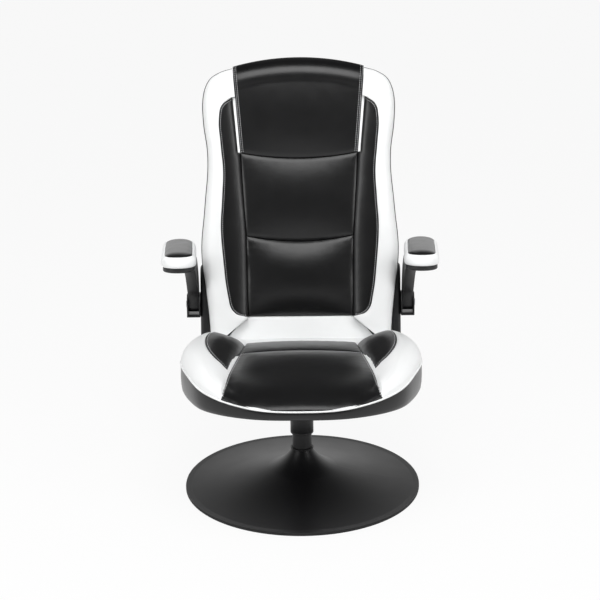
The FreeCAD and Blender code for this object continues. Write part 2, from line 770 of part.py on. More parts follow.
def rear_pad_outline(gap):
    rear, seam, _ = pad_corners()
    corners = [(seam[0] - gap, seam[1] + gap, 0), (rear[0] - gap, rear[1] - gap, 0)]
    corners += [(-x, y, z) for x, y, z in reversed(corners)]
    return straight_line(corners + corners[:1])


def insert_outline(side):
    """Leaf between a centre pad and the bolster, from the rear crest to its tip."""
    rear, seam, _ = pad_corners()
    tip = (181, -192, 0)
    corner = (rear[0] + (seam[0] - rear[0]) * 0.3, rear[1] + (seam[1] - rear[1]) * 0.3, 0)
    foot = (seam[0], seam[1], 0)
    inner = smooth_line([tip, (169, -90, 0), foot]) + straight_line([foot, corner])
    outer = smooth_line([corner, (182, 70, 0), (218, 44, 0), (239, -25, 0), (238, -88, 0),
                         (216, -150, 0), tip], first_way=(0.4, 1, 0))
    pieces = inner + outer
    return pieces if side > 0 else mirrored(pieces)


def make_seat_cushion():
    whole, below = seat_whole(), under_piping()
    gap = size("seam_gap")
    low = size("rocker_top") - 100
    board = prism(seat_plan(size("board_inset") - 0.5), low,
                  size("board_thickness + cover_thickness") + 100)
    node("seat_skirt", lean_with_seat(solid_part(whole.common(below).cut(board))))
    upper = whole.cut(below)
    regions = {"seat_pad_front": front_pad_outline, "seat_pad_rear": rear_pad_outline}
    bolster = upper
    for label, make in regions.items():
        node(label, lean_with_seat(solid_part(upper.common(seam_prism(make(gap))))))
        bolster = bolster.cut(seam_prism(make(0)))
    for name, side in SIDES.items():
        leaf = seam_prism(insert_outline(side))
        node("seat_insert_" + name, lean_with_seat(solid_part(upper.common(leaf))))
        bolster = bolster.cut(leaf)
    node("seat_bolster", lean_with_seat(solid_part(largest(bolster))))


def make_seat_frame():
    rocker_plate()
    pivot_bushes()
    under_seat_layer("seat_dust_cover", size("board_inset"), "rocker_top", "cover_thickness")
    under_seat_layer("seat_board", size("board_inset"), "rocker_top + cover_thickness",
                     "board_thickness")


# Brackets that carry the back and the arms


def leaned(along, up):
    """A point of the back frame as two formulas in the seat frame."""
    return (f"back_foot_forward + ({along}) * cos(back_lean) + ({up}) * sin(back_lean)",
            f"back_foot_height + ({up}) * cos(back_lean) - ({along}) * sin(back_lean)")


def hinge_in_back():
    """The arm hinge as two formulas in the back frame."""
    along, up = "(hinge_along - back_foot_forward)", "(hinge_height - back_foot_height)"
    return (f"{along} * cos(back_lean) - {up} * sin(back_lean)",
            f"{along} * sin(back_lean) + {up} * cos(back_lean)")


def outward(body, sketch, side, start, length):
    """Pads a YZ sketch away from the middle of the chair, from start out by length."""
    sketch.setExpression("AttachmentOffset.Base.z", formula(f"{side} * ({start})"))
    return pad(body, sketch, length, reverse=side < 0)


def side_bracket(name, side):
    """Flat steel bar: a foot under the seat board and an upright beside the back."""
    body = body_named("side_bracket_" + name)
    foot = "rocker_top - bracket_wall"
    upright = sketch_on(body, "YZ_Plane")
    polygon(upright, [("back_foot_forward - 17", foot), ("back_foot_forward + 27", foot),
                      leaned("45", "bracket_top"), leaned("0 - 5", "bracket_top")])
    outward(body, upright, side, "bracket_inside", "bracket_wall")
    flange = sketch_on(body, "XY_Plane", foot)
    out, rear = "bracket_inside + bracket_wall", "back_foot_forward + 27"
    corners = [("bracket_foot", 75), ("bracket_foot + 50", 75), (out, "back_foot_forward - 17"),
               (out, rear), ("bracket_inside - 30", rear), ("bracket_foot", 120)]
    polygon(flange, [(f"{side} * ({across})", along) for across, along in corners])
    pad(body, flange, "bracket_wall")
    pin = sketch_on(body, "YZ_Plane")
    circle(pin, "hinge_along", "hinge_height", "hinge_pin_radius + bush_gap")
    cut(body, pin)
    for up in BACK_BOLT_HEIGHTS:
        hole = sketch_on(body, "YZ_Plane")
        circle(hole, *leaned("20", up), "bolt_radius + weld_gap")
        cut(body, hole)
    for across, along in FOOT_BOLT_PLACES:
        hole = sketch_on(body, "XY_Plane", "rocker_top")
        circle(hole, f"{side} * {across}", along, "bolt_radius + weld_gap")
        cut(body, hole, "bracket_wall + 1")
    return node("side_bracket_" + name, lean_with_seat(body))


def bracket_cover(name, side):
    """Moulded cover over the upright, with a round top."""
    body = body_named("bracket_cover_" + name)
    front, rear, foot, top = -7, 47, -30, 175
    middle, radius = (front + rear) / 2, (rear - front) / 2
    sketch = sketch_on(body, "YZ_Plane")
    start = Vector(rear, top - radius, 0)
    crown = Vector(middle, top, 0)
    end = Vector(front, top - radius, 0)
    sides = straight_line([end, (front, foot, 0), (rear, foot, 0), start])
    outline(sketch, sides + [arc(start, Vector(0, 1, 0), crown), arc(crown, Vector(-1, 0, 0), end)])
    feature = outward(body, sketch, side, "bracket_inside - 0.3",
                      "cover_outside - bracket_inside + 0.3")
    face = side * size("cover_outside")
    round_edges(body, feature, 9, lambda middle, edge: (
        abs(middle.x - face) < 1e-3 and middle.z > foot + 1))
    room = sketch_on(body, "YZ_Plane")
    block(room, "0 - 5.4", 45.4, foot - 1, "bracket_top + 0.4")
    room.setExpression("AttachmentOffset.Base.z", formula(f"{side} * (bracket_inside + bracket_wall)"))
    cut(body, room, "bracket_wall + 1", reverse=side < 0)
    for up in BACK_BOLT_HEIGHTS:
        reach = "bracket_inside + bracket_wall + bolt_head_height + 1"
        head = sketch_on(body, "YZ_Plane", f"{side} * ({reach})")
        circle(head, 20, up, "bolt_head_radius + 1")
        cut(body, head, "bolt_head_height + bracket_wall", reverse=side < 0)
    pin = sketch_on(body, "YZ_Plane")
    circle(pin, *hinge_in_back(), "hinge_pin_radius + weld_gap")
    cut(body, pin)
    return node("bracket_cover_" + name, lean_with_back(body))


def bracket_back_bolts():
    """Bolts through the uprights into the rails of the back."""
    bolts = []
    for side in SIDES.values():
        for up in BACK_BOLT_HEIGHTS:
            face, reach = "bracket_inside + bracket_wall", "bracket_wall + 28"
            start = f"{face} - ({reach})" if side > 0 else f"0 - ({face})"
            head = face if side > 0 else f"0 - ({face}) - bolt_head_height"
            bolts.append(joined(lying_cylinder("bolt_radius", start, reach, 20, up),
                                lying_cylinder("bolt_head_radius", head, "bolt_head_height", 20, up)))
    return node("bracket_back_bolts", lean_with_back(group(bolts)))


def make_brackets():
    for name, side in SIDES.items():
        side_bracket(name, side)
        bracket_cover(name, side)
    bracket_back_bolts()
    bolts = []
    for wall, places in (("bracket_wall", foot_bolt_places()), ("rocker_wall", rocker_bolt_places())):
        under = f"rocker_top - {wall}"
        bolts += upright_bolts(places, f"{under} - bolt_head_height", under,
                               f"{wall} + cover_thickness + board_thickness - 1")
    node("seat_bolts", lean_with_seat(group(bolts)))


# Back


def back_outline():
    """Closed front outline of the padded back: a waist between the shoulders and the hips."""
    wide, tall = size("back_half_width"), size("back_height")
    side = smooth_line([(wide - 21, 0, 0), (wide - 10, 100, 0), (wide - 1, 180, 0), (wide, 226, 0),
                        (wide - 9, 320, 0), (wide - 19, 455, 0), (wide - 8, 560, 0),
                        (wide - 7.5, 605, 0), (wide - 14, 638, 0), (wide - 27, 662, 0),
                        (wide - 53, 679, 0), (wide - 89, tall - 29.5, 0), (0, tall, 0)],
                       last_way=(-1, 0, 0))
    floor = straight_line([(21 - wide, 0, 0), (wide - 21, 0, 0)])
    return floor + side + mirrored(side)


def shell_outline(inset):
    """The narrower outline of the back behind the padding."""
    wide, tall, foot = size("shell_half_width") - inset, size("back_height") - inset, inset - 30
    side = straight_line([(wide, foot, 0), (wide, 230, 0)])
    side += smooth_line([(wide, 230, 0), (wide - 6, 330, 0), (wide - 14, 455, 0), (wide - 5, 560, 0),
                         (wide - 5, 610, 0), (wide - 22, 646, 0), (wide - 66, tall - 46, 0),
                         (0, tall - 14, 0)], first_way=(0, 1, 0), last_way=(-1, 0, 0))
    floor = straight_line([(-wide, foot, 0), (wide, foot, 0)])
    return floor + side + mirrored(side)


def panel_edge(up):
    """Half width of the middle panels, which widen towards the top."""
    if up < 249:
        return 142 + (up - 249) * 0.014
    return 142 + (up - 249) * 0.06 if up < 468 else 155.14 + (up - 468) * 0.08


def region_outline():
    """The part of the front that the inserts and the middle panels fill."""
    tall = size("back_height") + 16
    low = straight_line([(0, -40, 0), (180, -40, 0), (180, 0, 0), (137, 35.4, 0)])
    leaf = smooth_line([(137, 35.4, 0), (158, 37, 0), (180, 53, 0), (192, 96, 0), (203, 192, 0),
                        (207.8, 273, 0), (203.5, 345, 0), (200, 421, 0), (205.6, 490, 0),
                        (209.5, 555, 0), (202, 591, 0), (176, 612.5, 0)], first_way=(1, 0, 0))
    high = straight_line([(176, 612.5, 0), (panel_edge(613), 613, 0), (panel_edge(tall), tall, 0),
                          (0, tall, 0)])
    half = low + leaf + high
    return half + mirrored(half)


def front_sketch(body, along):
    """A sketch on the XZ plane moved to the given Y, where its pads run forward."""
    return sketch_on(body, "XZ_Plane", f"0 - ({along})")


def back_shell():
    """Rear of the back: trimmed foam that holds the wooden frame."""
    body = body_named("back_shell")
    face = "0 - bolster_rear"
    sketch = front_sketch(body, face)
    outline(sketch, shell_outline(0))
    feature = pad(body, sketch, "bolster_rear + shell_rear", reverse=True)
    rear = size("shell_rear")
    round_edges(body, feature, "shell_round", lambda middle, edge: abs(middle.y - rear) < 1e-3)
    board = front_sketch(body, face)
    outline(board, shell_outline(9.5))
    cut(body, board, "panel_thickness")
    for side in SIDES.values():
        rails = front_sketch(body, "panel_thickness - bolster_rear")
        rail_block(rails, side, 0.5)
        cut(body, rails, "rail_depth + 0.5")
    for up in BACK_BOLT_HEIGHTS:
        hole = sketch_on(body, "YZ_Plane")
        circle(hole, 20, up, "bolt_radius + weld_gap")
        cut(body, hole)
    return node("back_shell", lean_with_back(body))


def rail_block(sketch, side, gap):
    inner = f"{side} * (shell_half_width - 4 - rail_width - {gap})"
    outer = f"{side} * (shell_half_width - 4 + {gap})"
    block(sketch, inner, outer, 20 - gap, 190 + gap)


def back_frame():
    """Plywood board with two rails that take the bracket bolts."""
    body = body_named("back_frame")
    sketch = front_sketch(body, "0 - bolster_rear")
    outline(sketch, shell_outline(10))
    pad(body, sketch, "panel_thickness", reverse=True)
    for side in SIDES.values():
        rail = front_sketch(body, "panel_thickness - bolster_rear")
        rail_block(rail, side, 0)
        pad(body, rail, "rail_depth", reverse=True)
    for up in BACK_BOLT_HEIGHTS:
        hole = sketch_on(body, "YZ_Plane")
        circle(hole, 20, up, "bolt_radius + weld_gap")
        cut(body, hole)
    return node("back_frame", lean_with_back(body))


def back_bolster(name, side):
    """Padded surround of the back: one side with its shoulder."""
    body = body_named("back_bolster_" + name)
    sketch = front_sketch(body, "0 - bolster_rear")
    outline(sketch, back_outline())
    feature = pad(body, sketch, "bolster_front - bolster_rear")
    front = -size("bolster_front")
    round_edges(body, feature, "bolster_round", lambda middle, edge: (
        abs(middle.y - front) < 1e-3 and middle.z > 1))
    rest = front_sketch(body, "0 - bolster_rear")
    half = region_outline()
    wide, tall, low = -400 * side, size("back_height") + 16, -40
    beyond = straight_line([(0, tall, 0), (wide, tall, 0), (wide, low, 0), (0, low, 0)])
    if side > 0:
        outline(rest, half[:len(half) // 2] + beyond)
    else:
        outline(rest, half[len(half) // 2:] + straight_line(
            [(0, low, 0), (wide, low, 0), (wide, tall, 0), (0, tall, 0)]))
    cut(body, rest)
    return node("back_bolster_" + name, lean_with_back(body))


def crowned_pad(bottom, top, depth, crown):
    """A pad between two seams, given as functions of the place from -1 to 1 across it."""
    base = -size("bolster_rear")
    sections = []
    for place in (-1, -0.6, 0, 0.6, 1):
        (x_low, low), (x_high, high) = bottom(place), top(place)
        swell = depth + crown * (1 - 0.7 * place**2)
        corners = [Vector(x_low, base, low), Vector(x_low, -depth, low),
                   Vector((x_low + x_high) / 2, -swell, (low + high) / 2),
                   Vector(x_high, -depth, high), Vector(x_high, base, high)]
        sections.append(wire(straight_line(corners[:2]) + [Part.Arc(*corners[1:4])]
                             + straight_line(corners[3:] + corners[:1])))
    return solid_part(Part.makeLoft(sections, True, False))


def seam(height, sag, gap):
    """A seam across the middle panels that sags between its ends."""
    def at(place):
        return place * panel_edge(height + gap), height - sag * (1 - place**2) + gap
    return at


def middle_pads():
    """The two black panels of the middle and the white one below them."""
    sag, gap, depth = size("seam_sag"), size("seam_gap"), size("seam_depth")
    middle = crowned_pad(seam(249, sag, gap), seam(468, sag, -gap), depth, size("crown") - 3)
    lean_with_back(node("mid_back_pad", middle))
    lumbar = crowned_pad(seam(36, 0, gap), seam(249, sag, -gap), depth, size("crown") + 5)
    lean_with_back(node("lumbar_pad", lumbar))

    def foot(place):
        return place * 203, -19

    def brow(place):
        return place * 137, 35.4 - gap
    lean_with_back(node("back_lower_panel", crowned_pad(foot, brow, depth - 4, 4)))


def headrest_pad():
    """Head cushion, which rolls over the top of the back."""
    base, depth = -size("bolster_rear"), size("seam_depth")
    tall, radius = size("back_height"), 652
    low_at = seam(468, size("seam_sag"), size("seam_gap"))
    sections = []
    for place in (-1, -0.6, 0, 0.6, 1):
        across, low = low_at(place)
        wide = panel_edge(690) * place
        high = tall - radius + math.sqrt(radius**2 - wide**2)
        swell = depth + 16 * (1 - 0.45 * place**2)

        def at(along, up):
            share = (up - low) / (high - low)
            return Vector(across + (wide - across) * share, along, up)
        front = at(-swell, high - 62)
        roll = at(-swell * 0.62 + base * 0.38, high - 13)
        sections.append(wire(
            straight_line([at(base, low), at(-depth, low)])
            + [Part.Arc(at(-depth, low), at(-depth - (swell - depth) * 0.75, low + 70), front),
               Part.Arc(front, roll, at(base, high))]
            + straight_line([at(base, high), at(base, low)])))
    return node("headrest_pad", lean_with_back(solid_part(Part.makeLoft(sections, True, False))))


def headrest_stripes():
    """Two narrow tapered strips beside the head cushion."""
    base, depth = -size("bolster_rear"), size("seam_depth") + 7
    strips = []
    for side in SIDES.values():
        corners = [(panel_edge(468), 468), (161, 468), (173.7, 612.5), (panel_edge(612.5), 612.5)]
        points = [(side * across, up, 0) for across, up in corners]
        strips.append(front_prism(straight_line(points + points[:1]), base, -depth))
    return node("headrest_stripes", lean_with_back(solid_part(Part.makeCompound(strips))))


def back_insert(name, side):
    """Side insert that rises from the middle seam to the bolster."""
    base, depth, rise = -size("bolster_rear"), size("seam_depth"), 40
    sections = []
    for up, inner, outer in ((30, 130, 186), (96, 130, 200), (192, 132, 212), (273, 134, 216),
                             (345, 138, 212), (421, 143, 209), (490, 147, 214), (555, 155, 218),
                             (620, 160, 212)):
        sections.append(wire(
            straight_line([(inner, base, up), (inner, -depth, up)])
            + [Part.Arc(Vector(inner, -depth, up), Vector((inner + outer) / 2, -depth - 15, up),
                        Vector(outer, -rise, up))]
            + straight_line([(outer, -rise, up), (outer, base, up), (inner, base, up)])))
    whole = Part.makeLoft(sections, True, False)
    whole = whole.common(front_prism(region_outline(), 20, -80))
    middle = [(-10, 0), (panel_edge(0), 0), (142, 249), (155.14, 468), (161.3, 468), (174, 612.5),
              (174, 700), (-10, 700), (-10, 0)]
    points = [(across + 0.3, up, 0) for across, up in middle]
    whole = largest(whole.cut(front_prism(straight_line(points), 20, -80)))
    if side < 0:
        whole = whole.mirror(Vector(), Vector(1, 0, 0))
    return node("back_insert_" + name, lean_with_back(solid_part(whole)))


def make_back():
    back_frame()
    back_shell()
    headrest_pad()
    headrest_stripes()
    middle_pads()
    for name, side in SIDES.items():
        back_bolster(name, side)
        back_insert(name, side)


# Arms


def arm_hinge_bracket(name, side):
    """Block on the cover with two cheeks, open above and to both ends, for the arm post."""
    body = body_named("arm_hinge_bracket_" + name)
    front, rear = "hinge_along - hinge_half_length", "hinge_along + hinge_half_length"
    top = "hinge_block_top"
    sketch = sketch_on(body, "YZ_Plane")
    polygon(sketch, [(front, "hinge_floor"), (rear, "hinge_floor"), (rear, f"{top} - 20"),
                     (f"{rear} - 14", top), (f"{front} + 14", top), (front, f"{top} - 20")])
    outward(body, sketch, side, "cover_outside", "hinge_outside - cover_outside")
    slot = sketch_on(body, "XZ_Plane")
    block(slot, f"{side} * (cover_outside + hinge_wall)", f"{side} * (hinge_outside - hinge_wall)",
          "hinge_floor + hinge_wall + 0.6", "hinge_block_top + 10")
    cut(body, slot)
    pin = sketch_on(body, "YZ_Plane")
    circle(pin, "hinge_along", "hinge_height", "hinge_pin_radius + bush_gap")
    cut(body, pin)
    return node("arm_hinge_bracket_" + name, lean_with_seat(body))


def arm_hinge_pin(name, side):
    """Pin through upright, cover and block, with a low head outside."""
    inner, outer = "bracket_inside + 0.2", "hinge_outside"
    start = inner if side > 0 else f"0 - {outer}"
    head = outer if side > 0 else f"0 - {outer} - 3"
    place = ("hinge_along", "hinge_height")
    shank = lying_cylinder("hinge_pin_radius", start, f"{outer} - ({inner})", *place)
    cap = lying_cylinder("hinge_pin_radius * 1.6", head, 3, *place)
    return node("arm_hinge_pin_" + name, lean_with_seat(joined(shank, cap)))


def arm_post(name, side):
    """Curved post from the hinge up and forward to the pad."""
    body = body_named("arm_post_" + name)
    along, up, radius = size("hinge_along"), size("hinge_height"), size("arm_end_radius")
    top = size("tray_bottom")
    foot = Vector(along, up - radius, 0)
    rear, front = Vector(along + radius, up, 0), Vector(along - radius, up, 0)
    spine = smooth_line([rear, (along + 10, up + 56, 0), (along - 22, up + 108, 0),
                         (along - 86, top - 11, 0), (along - 132, top, 0)],
                        first_way=(0, 1, 0), last_way=(-1, 0.02, 0))
    belly = smooth_line([(along - 300, top, 0), (along - 220, top - 15, 0), (along - 132, top - 44, 0),
                         (along - 68, up + 68, 0), front], first_way=(1, -0.03, 0), last_way=(0, -1, 0))
    flat = straight_line([(along - 132, top, 0), (along - 300, top, 0)])
    knuckle = [arc(front, Vector(0, -1, 0), foot), arc(foot, Vector(1, 0, 0), rear)]
    sketch = sketch_on(body, "YZ_Plane")
    outline(sketch, spine + flat + belly + knuckle)
    outward(body, sketch, side, "post_inside", "arm_post_width")
    bore = sketch_on(body, "YZ_Plane")
    circle(bore, "hinge_along", "hinge_height", "hinge_pin_radius + bush_gap")
    cut(body, bore)
    for place in ARM_SCREW_PLACES:
        hole = sketch_on(body, "XY_Plane", "tray_bottom")
        circle(hole, f"{side} * (post_inside + arm_post_width / 2)", place, "screw_radius + weld_gap")
        cut(body, hole, 12)
        room = sketch_on(body, "XY_Plane", "tray_bottom - 8")
        circle(room, f"{side} * (post_inside + arm_post_width / 2)", place, "screw_head_radius + 0.5")
        cut(body, room, 60)
    return node("arm_post_" + name, lean_with_seat(body))


def arm_plan(side, inset):
    """Plan outline of an arm pad, toed in towards the front."""
    half_length = size("(arm_rear - arm_front) / 2") - inset
    half_width = size("arm_width / 2") - inset
    middle = size("(arm_rear + arm_front) / 2")
    toe = math.radians(size("arm_toe_in"))
    way = (-side * math.sin(toe), -math.cos(toe), 0)
    back_way = (-way[0], -way[1], 0)
    front_end = [(-half_width, half_length - 36), (-half_width + 13, half_length - 9),
                 (0, half_length), (half_width - 13, half_length - 9),
                 (half_width, half_length - 36)]

    def placed(across, forward):
        x = size("arm_middle") + across * math.cos(toe) - forward * math.sin(toe)
        return side * x, middle - forward * math.cos(toe) - across * math.sin(toe), 0

    front = [placed(*point) for point in front_end]
    rear = [placed(-across, -forward) for across, forward in front_end]
    return (smooth_line(front, way, back_way) + straight_line([front[-1], rear[0]])
            + smooth_line(rear, back_way, way) + straight_line([rear[-1], front[0]]))


def arm_layer(label, side, inset, bottom, height, rounds):
    """One layer of an arm pad. rounds gives the radii of its lower and upper edges."""
    body = body_named(label)
    sketch = sketch_on(body, "XY_Plane", bottom)
    outline(sketch, arm_plan(side, inset))
    feature = pad(body, sketch, height)
    low, high = size(bottom), size(f"{bottom} + {height}")
    for level, radius in zip((low, high), rounds):
        feature = round_edges(body, feature, radius,
                              lambda middle, edge, level=level: abs(middle.z - level) < 1e-3)
    if bottom != "tray_bottom + tray_height + band_height":
        for place in ARM_SCREW_PLACES:
            hole = sketch_on(body, "XY_Plane", "tray_bottom + 30")
            circle(hole, f"{side} * (post_inside + arm_post_width / 2)", place,
                   "screw_radius + weld_gap")
            cut(body, hole, 40)
    return node(label, lean_with_seat(body))


def arm_screws(name, side):
    screws = []
    across = f"{side} * (post_inside + arm_post_width / 2)"
    for place in ARM_SCREW_PLACES:
        shank = cylinder("screw_radius", "tray_bottom - 8", 36, across, place)
        head = cylinder("screw_head_radius", "tray_bottom - 12", 4, across, place)
        screws.append(joined(shank, head))
    return node("arm_screws_" + name, lean_with_seat(group(screws)))


def make_arm(name, side):
    arm_hinge_bracket(name, side)
    arm_hinge_pin(name, side)
    arm_post(name, side)
    band = "tray_bottom + tray_height"
    arm_layer("arm_tray_" + name, side, 4, "tray_bottom", "tray_height", (4, 1))
    arm_layer("arm_pad_band_" + name, side, 0, band, "band_height", (5, 11))
    arm_layer("arm_pad_top_" + name, side, 14, f"{band} + band_height", "arm_top_height", (0.5, 5))
    arm_screws(name, side)


def export_all():
    """Checks every object of the document, then writes one file for each sub-part."""
    DOC.recompute()
    for item in DOC.Objects:
        if {"Invalid", "Error"} & set(item.State):
            raise ValueError(f"{item.Label} failed: {item.State}")
    for part in NODES:
        if part.Shape.isNull() or not part.Shape.isValid():
            raise ValueError(f"{part.Label} has no valid shape")
    os.makedirs("parts", exist_ok=True)
    for part in NODES:
        part.Shape.exportStep(f"parts/{part.Label}.step")
    print(len(NODES), "nodes")


make_base()
make_column()
make_seat_frame()
make_seat_cushion()
make_brackets()
make_back()
for arm_name, arm_side in SIDES.items():
    make_arm(arm_name, arm_side)
export_all()
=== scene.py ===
import json
import math

import bmesh
import bpy
import numpy as np
from mathutils import Matrix, Vector
from mathutils.bvhtree import BVHTree
from mathutils.kdtree import KDTree


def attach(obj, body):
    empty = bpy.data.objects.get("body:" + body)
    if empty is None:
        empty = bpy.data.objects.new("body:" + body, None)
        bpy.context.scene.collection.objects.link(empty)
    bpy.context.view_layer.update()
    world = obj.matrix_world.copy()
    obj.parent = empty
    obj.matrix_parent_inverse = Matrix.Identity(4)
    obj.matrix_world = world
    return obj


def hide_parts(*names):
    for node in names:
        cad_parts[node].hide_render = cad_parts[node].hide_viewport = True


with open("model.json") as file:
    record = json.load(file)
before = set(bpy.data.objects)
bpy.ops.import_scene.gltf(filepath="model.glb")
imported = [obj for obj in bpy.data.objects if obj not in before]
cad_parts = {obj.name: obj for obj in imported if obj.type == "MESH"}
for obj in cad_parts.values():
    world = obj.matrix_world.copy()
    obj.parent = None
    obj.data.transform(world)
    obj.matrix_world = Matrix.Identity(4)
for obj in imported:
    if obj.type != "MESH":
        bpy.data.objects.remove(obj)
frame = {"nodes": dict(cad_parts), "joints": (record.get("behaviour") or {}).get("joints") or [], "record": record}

# Rocker chair: a swivelling trumpet base, a rocking seat, a padded back and two
# flip-up arms. It faces -Y. Pieces are drawn in millimetres and set in metres: LEVEL
# stands upright on the floor, SEAT leans with the seat and BACK with the back.

MM = 0.001
SEAT_TILT = math.radians(6)
BACK_LEAN = math.radians(9)
BACK_FOOT = Vector((0, 165, 385))

CAD = frame["nodes"]
JOINTS = {joint["name"]: joint for joint in frame["joints"]}
PIVOT = Vector(JOINTS["rock"]["pos_m"])
LEVEL = Matrix.Scale(MM, 4)
SEAT = (Matrix.Translation(PIVOT) @ Matrix.Rotation(-SEAT_TILT, 4, "X")
        @ Matrix.Translation(-PIVOT) @ LEVEL)
BACK = SEAT @ Matrix.Translation(BACK_FOOT) @ Matrix.Rotation(-BACK_LEAN, 4, "X")
SIDES = {"left": 1, "right": -1}

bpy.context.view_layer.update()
scene = bpy.context.scene


# Camera and light

CAMERA_PLACE = (0, -3.5, 1.618)
CAMERA_PITCH = 17.65
CAMERA_ROLL = -0.6


def add_camera():
    """A long lens at about eye height, in front of the chair, rolled very slightly."""
    camera = bpy.data.objects.new("camera", bpy.data.cameras.new("camera"))
    camera.location = CAMERA_PLACE
    camera.rotation_euler = (math.radians(90 - CAMERA_PITCH), 0, 0)
    camera.rotation_euler.rotate_axis("Z", math.radians(CAMERA_ROLL))
    camera.data.sensor_width = 36
    camera.data.lens = 87.4
    camera.data.shift_x = -0.001
    scene.collection.objects.link(camera)
    scene.camera = camera


def add_softbox(name, place, target, width, height, power):
    """A rectangular lamp that faces its target."""
    light = bpy.data.objects.new(name, bpy.data.lights.new(name, "AREA"))
    light.data.shape = "RECTANGLE"
    light.data.size = width
    light.data.size_y = height
    light.data.energy = power
    light.location = place
    way = Vector(target) - light.location
    light.rotation_euler = way.to_track_quat("-Z", "Y").to_euler()
    scene.collection.objects.link(light)


# Materials


def colour(code):
    """An sRGB hex colour as linear RGBA."""
    parts = [int(code[i:i + 2], 16) / 255 for i in (1, 3, 5)]
    linear = [p / 12.92 if p <= 0.04045 else ((p + 0.055) / 1.055) ** 2.4 for p in parts]
    return (*linear, 1)


def new_material(name):
    """A new material, its shader and its place in the object's own metres."""
    material = bpy.data.materials.new(name)
    material.use_nodes = True
    shader = material.node_tree.nodes["Principled BSDF"]
    place = add_node(material, "ShaderNodeTexCoord").outputs["Object"]
    return material, shader, place


def add_node(owner, kind, settings=None, **inputs):
    """Adds a node. A setting is an attribute, an input a value or another node's socket."""
    node = owner.node_tree.nodes.new(kind)
    for name, value in (settings or {}).items():
        setattr(node, name, value)
    for name, value in inputs.items():
        socket = node.inputs[name.replace("_", " ")]
        if isinstance(value, bpy.types.NodeSocket):
            owner.node_tree.links.new(value, socket)
        else:
            socket.default_value = value
    return node


def link(owner, source, target):
    owner.node_tree.links.new(source, target)


def per_metre(size):
    """The texture scale at which one pattern cell is that many millimetres."""
    return 1 / (size * MM)


def blended(material, share, first, second):
    """A colour between two, by a share from 0 to 1."""
    mix = add_node(material, "ShaderNodeMix", {"data_type": "RGBA"}, Factor=share)
    mix.inputs[6].default_value = colour(first)
    mix.inputs[7].default_value = colour(second)
    return mix.outputs[2]


def vary_roughness(material, shader, pattern, low, high):
    rough = add_node(material, "ShaderNodeMapRange", Value=pattern, To_Min=low, To_Max=high)
    link(material, rough.outputs["Result"], shader.inputs["Roughness"])


def emboss(material, shader, *layers):
    """Bumps laid over each other. Each has a height, a strength and a depth in millimetres."""
    normal = None
    for height, strength, depth in layers:
        bump = add_node(material, "ShaderNodeBump", Height=height, Strength=strength,
                        Distance=depth * MM)
        if normal:
            link(material, normal, bump.inputs["Normal"])
        normal = bump.outputs["Normal"]
    link(material, normal, shader.inputs["Normal"])


def leatherette(name, base, light, roughness):
    """Coated polyurethane cloth. A fine pressed grain breaks up its soft satin gloss."""
    material, shader, place = new_material(name)
    # Pressed grain of 1.6 mm cells, coarser than the real 1 mm so that it shows.
    grain = add_node(material, "ShaderNodeTexVoronoi", {"feature": "DISTANCE_TO_EDGE"},
                     Vector=place, Scale=per_metre(1.6))
    creases = add_node(material, "ShaderNodeTexNoise", Vector=place, Scale=per_metre(34),
                       Detail=3.0, Roughness=0.55).outputs["Fac"]
    wear = add_node(material, "ShaderNodeTexNoise", Vector=place, Scale=per_metre(120), Detail=2.0)
    link(material, blended(material, wear.outputs["Fac"], base, light),
         shader.inputs["Base Color"])
    vary_roughness(material, shader, creases, roughness - 0.05, roughness + 0.05)
    emboss(material, shader, (creases, 0.25, 1.2), (grain.outputs["Distance"], 0.12, 0.12))
    shader.inputs["IOR"].default_value = 1.5
    return material


def powder_coat(name, base, roughness):
    """Baked polyester powder on steel. Its faint orange peel softens every reflection."""
    material, shader, place = new_material(name)
    peel = add_node(material, "ShaderNodeTexNoise", Vector=place, Scale=per_metre(2.5), Detail=2.0)
    cloud = add_node(material, "ShaderNodeTexNoise", Vector=place, Scale=per_metre(60), Detail=1.0)
    vary_roughness(material, shader, cloud.outputs["Fac"], roughness - 0.03, roughness + 0.03)
    emboss(material, shader, (peel.outputs["Fac"], 0.2, 0.06))
    shader.inputs["Base Color"].default_value = colour(base)
    return material


def moulded_nylon(name, base, roughness):
    """Glass-filled nylon from a spark-eroded mould, with a fine even texture."""
    material, shader, place = new_material(name)
    texture = add_node(material, "ShaderNodeTexVoronoi", Vector=place, Scale=per_metre(0.9))
    cloud = add_node(material, "ShaderNodeTexNoise", Vector=place, Scale=per_metre(25), Detail=2.0)
    vary_roughness(material, shader, cloud.outputs["Fac"], roughness - 0.04, roughness + 0.04)
    emboss(material, shader, (texture.outputs["Distance"], 0.25, 0.08))
    shader.inputs["Base Color"].default_value = colour(base)
    shader.inputs["IOR"].default_value = 1.53
    return material


def plated_steel(name, base, roughness):
    """Zinc plate with the fine lines of drawn wire and turned rod."""
    material, shader, place = new_material(name)
    stretched = add_node(material, "ShaderNodeMapping", Vector=place, Scale=(1, 1, 12))
    lines = add_node(material, "ShaderNodeTexNoise", Vector=stretched.outputs["Vector"],
                     Scale=per_metre(3), Detail=4.0)
    vary_roughness(material, shader, lines.outputs["Fac"], roughness - 0.08, roughness + 0.1)
    shader.inputs["Base Color"].default_value = colour(base)
    shader.inputs["Metallic"].default_value = 1.0
    return material


def moulded_rubber(name, base):
    """Matt rubber with a dusty bloom."""
    material, shader, place = new_material(name)
    bloom = add_node(material, "ShaderNodeTexNoise", Vector=place, Scale=per_metre(8),
                     Detail=4.0).outputs["Fac"]
    vary_roughness(material, shader, bloom, 0.62, 0.8)
    emboss(material, shader, (bloom, 0.15, 0.1))
    shader.inputs["Base Color"].default_value = colour(base)
    return material


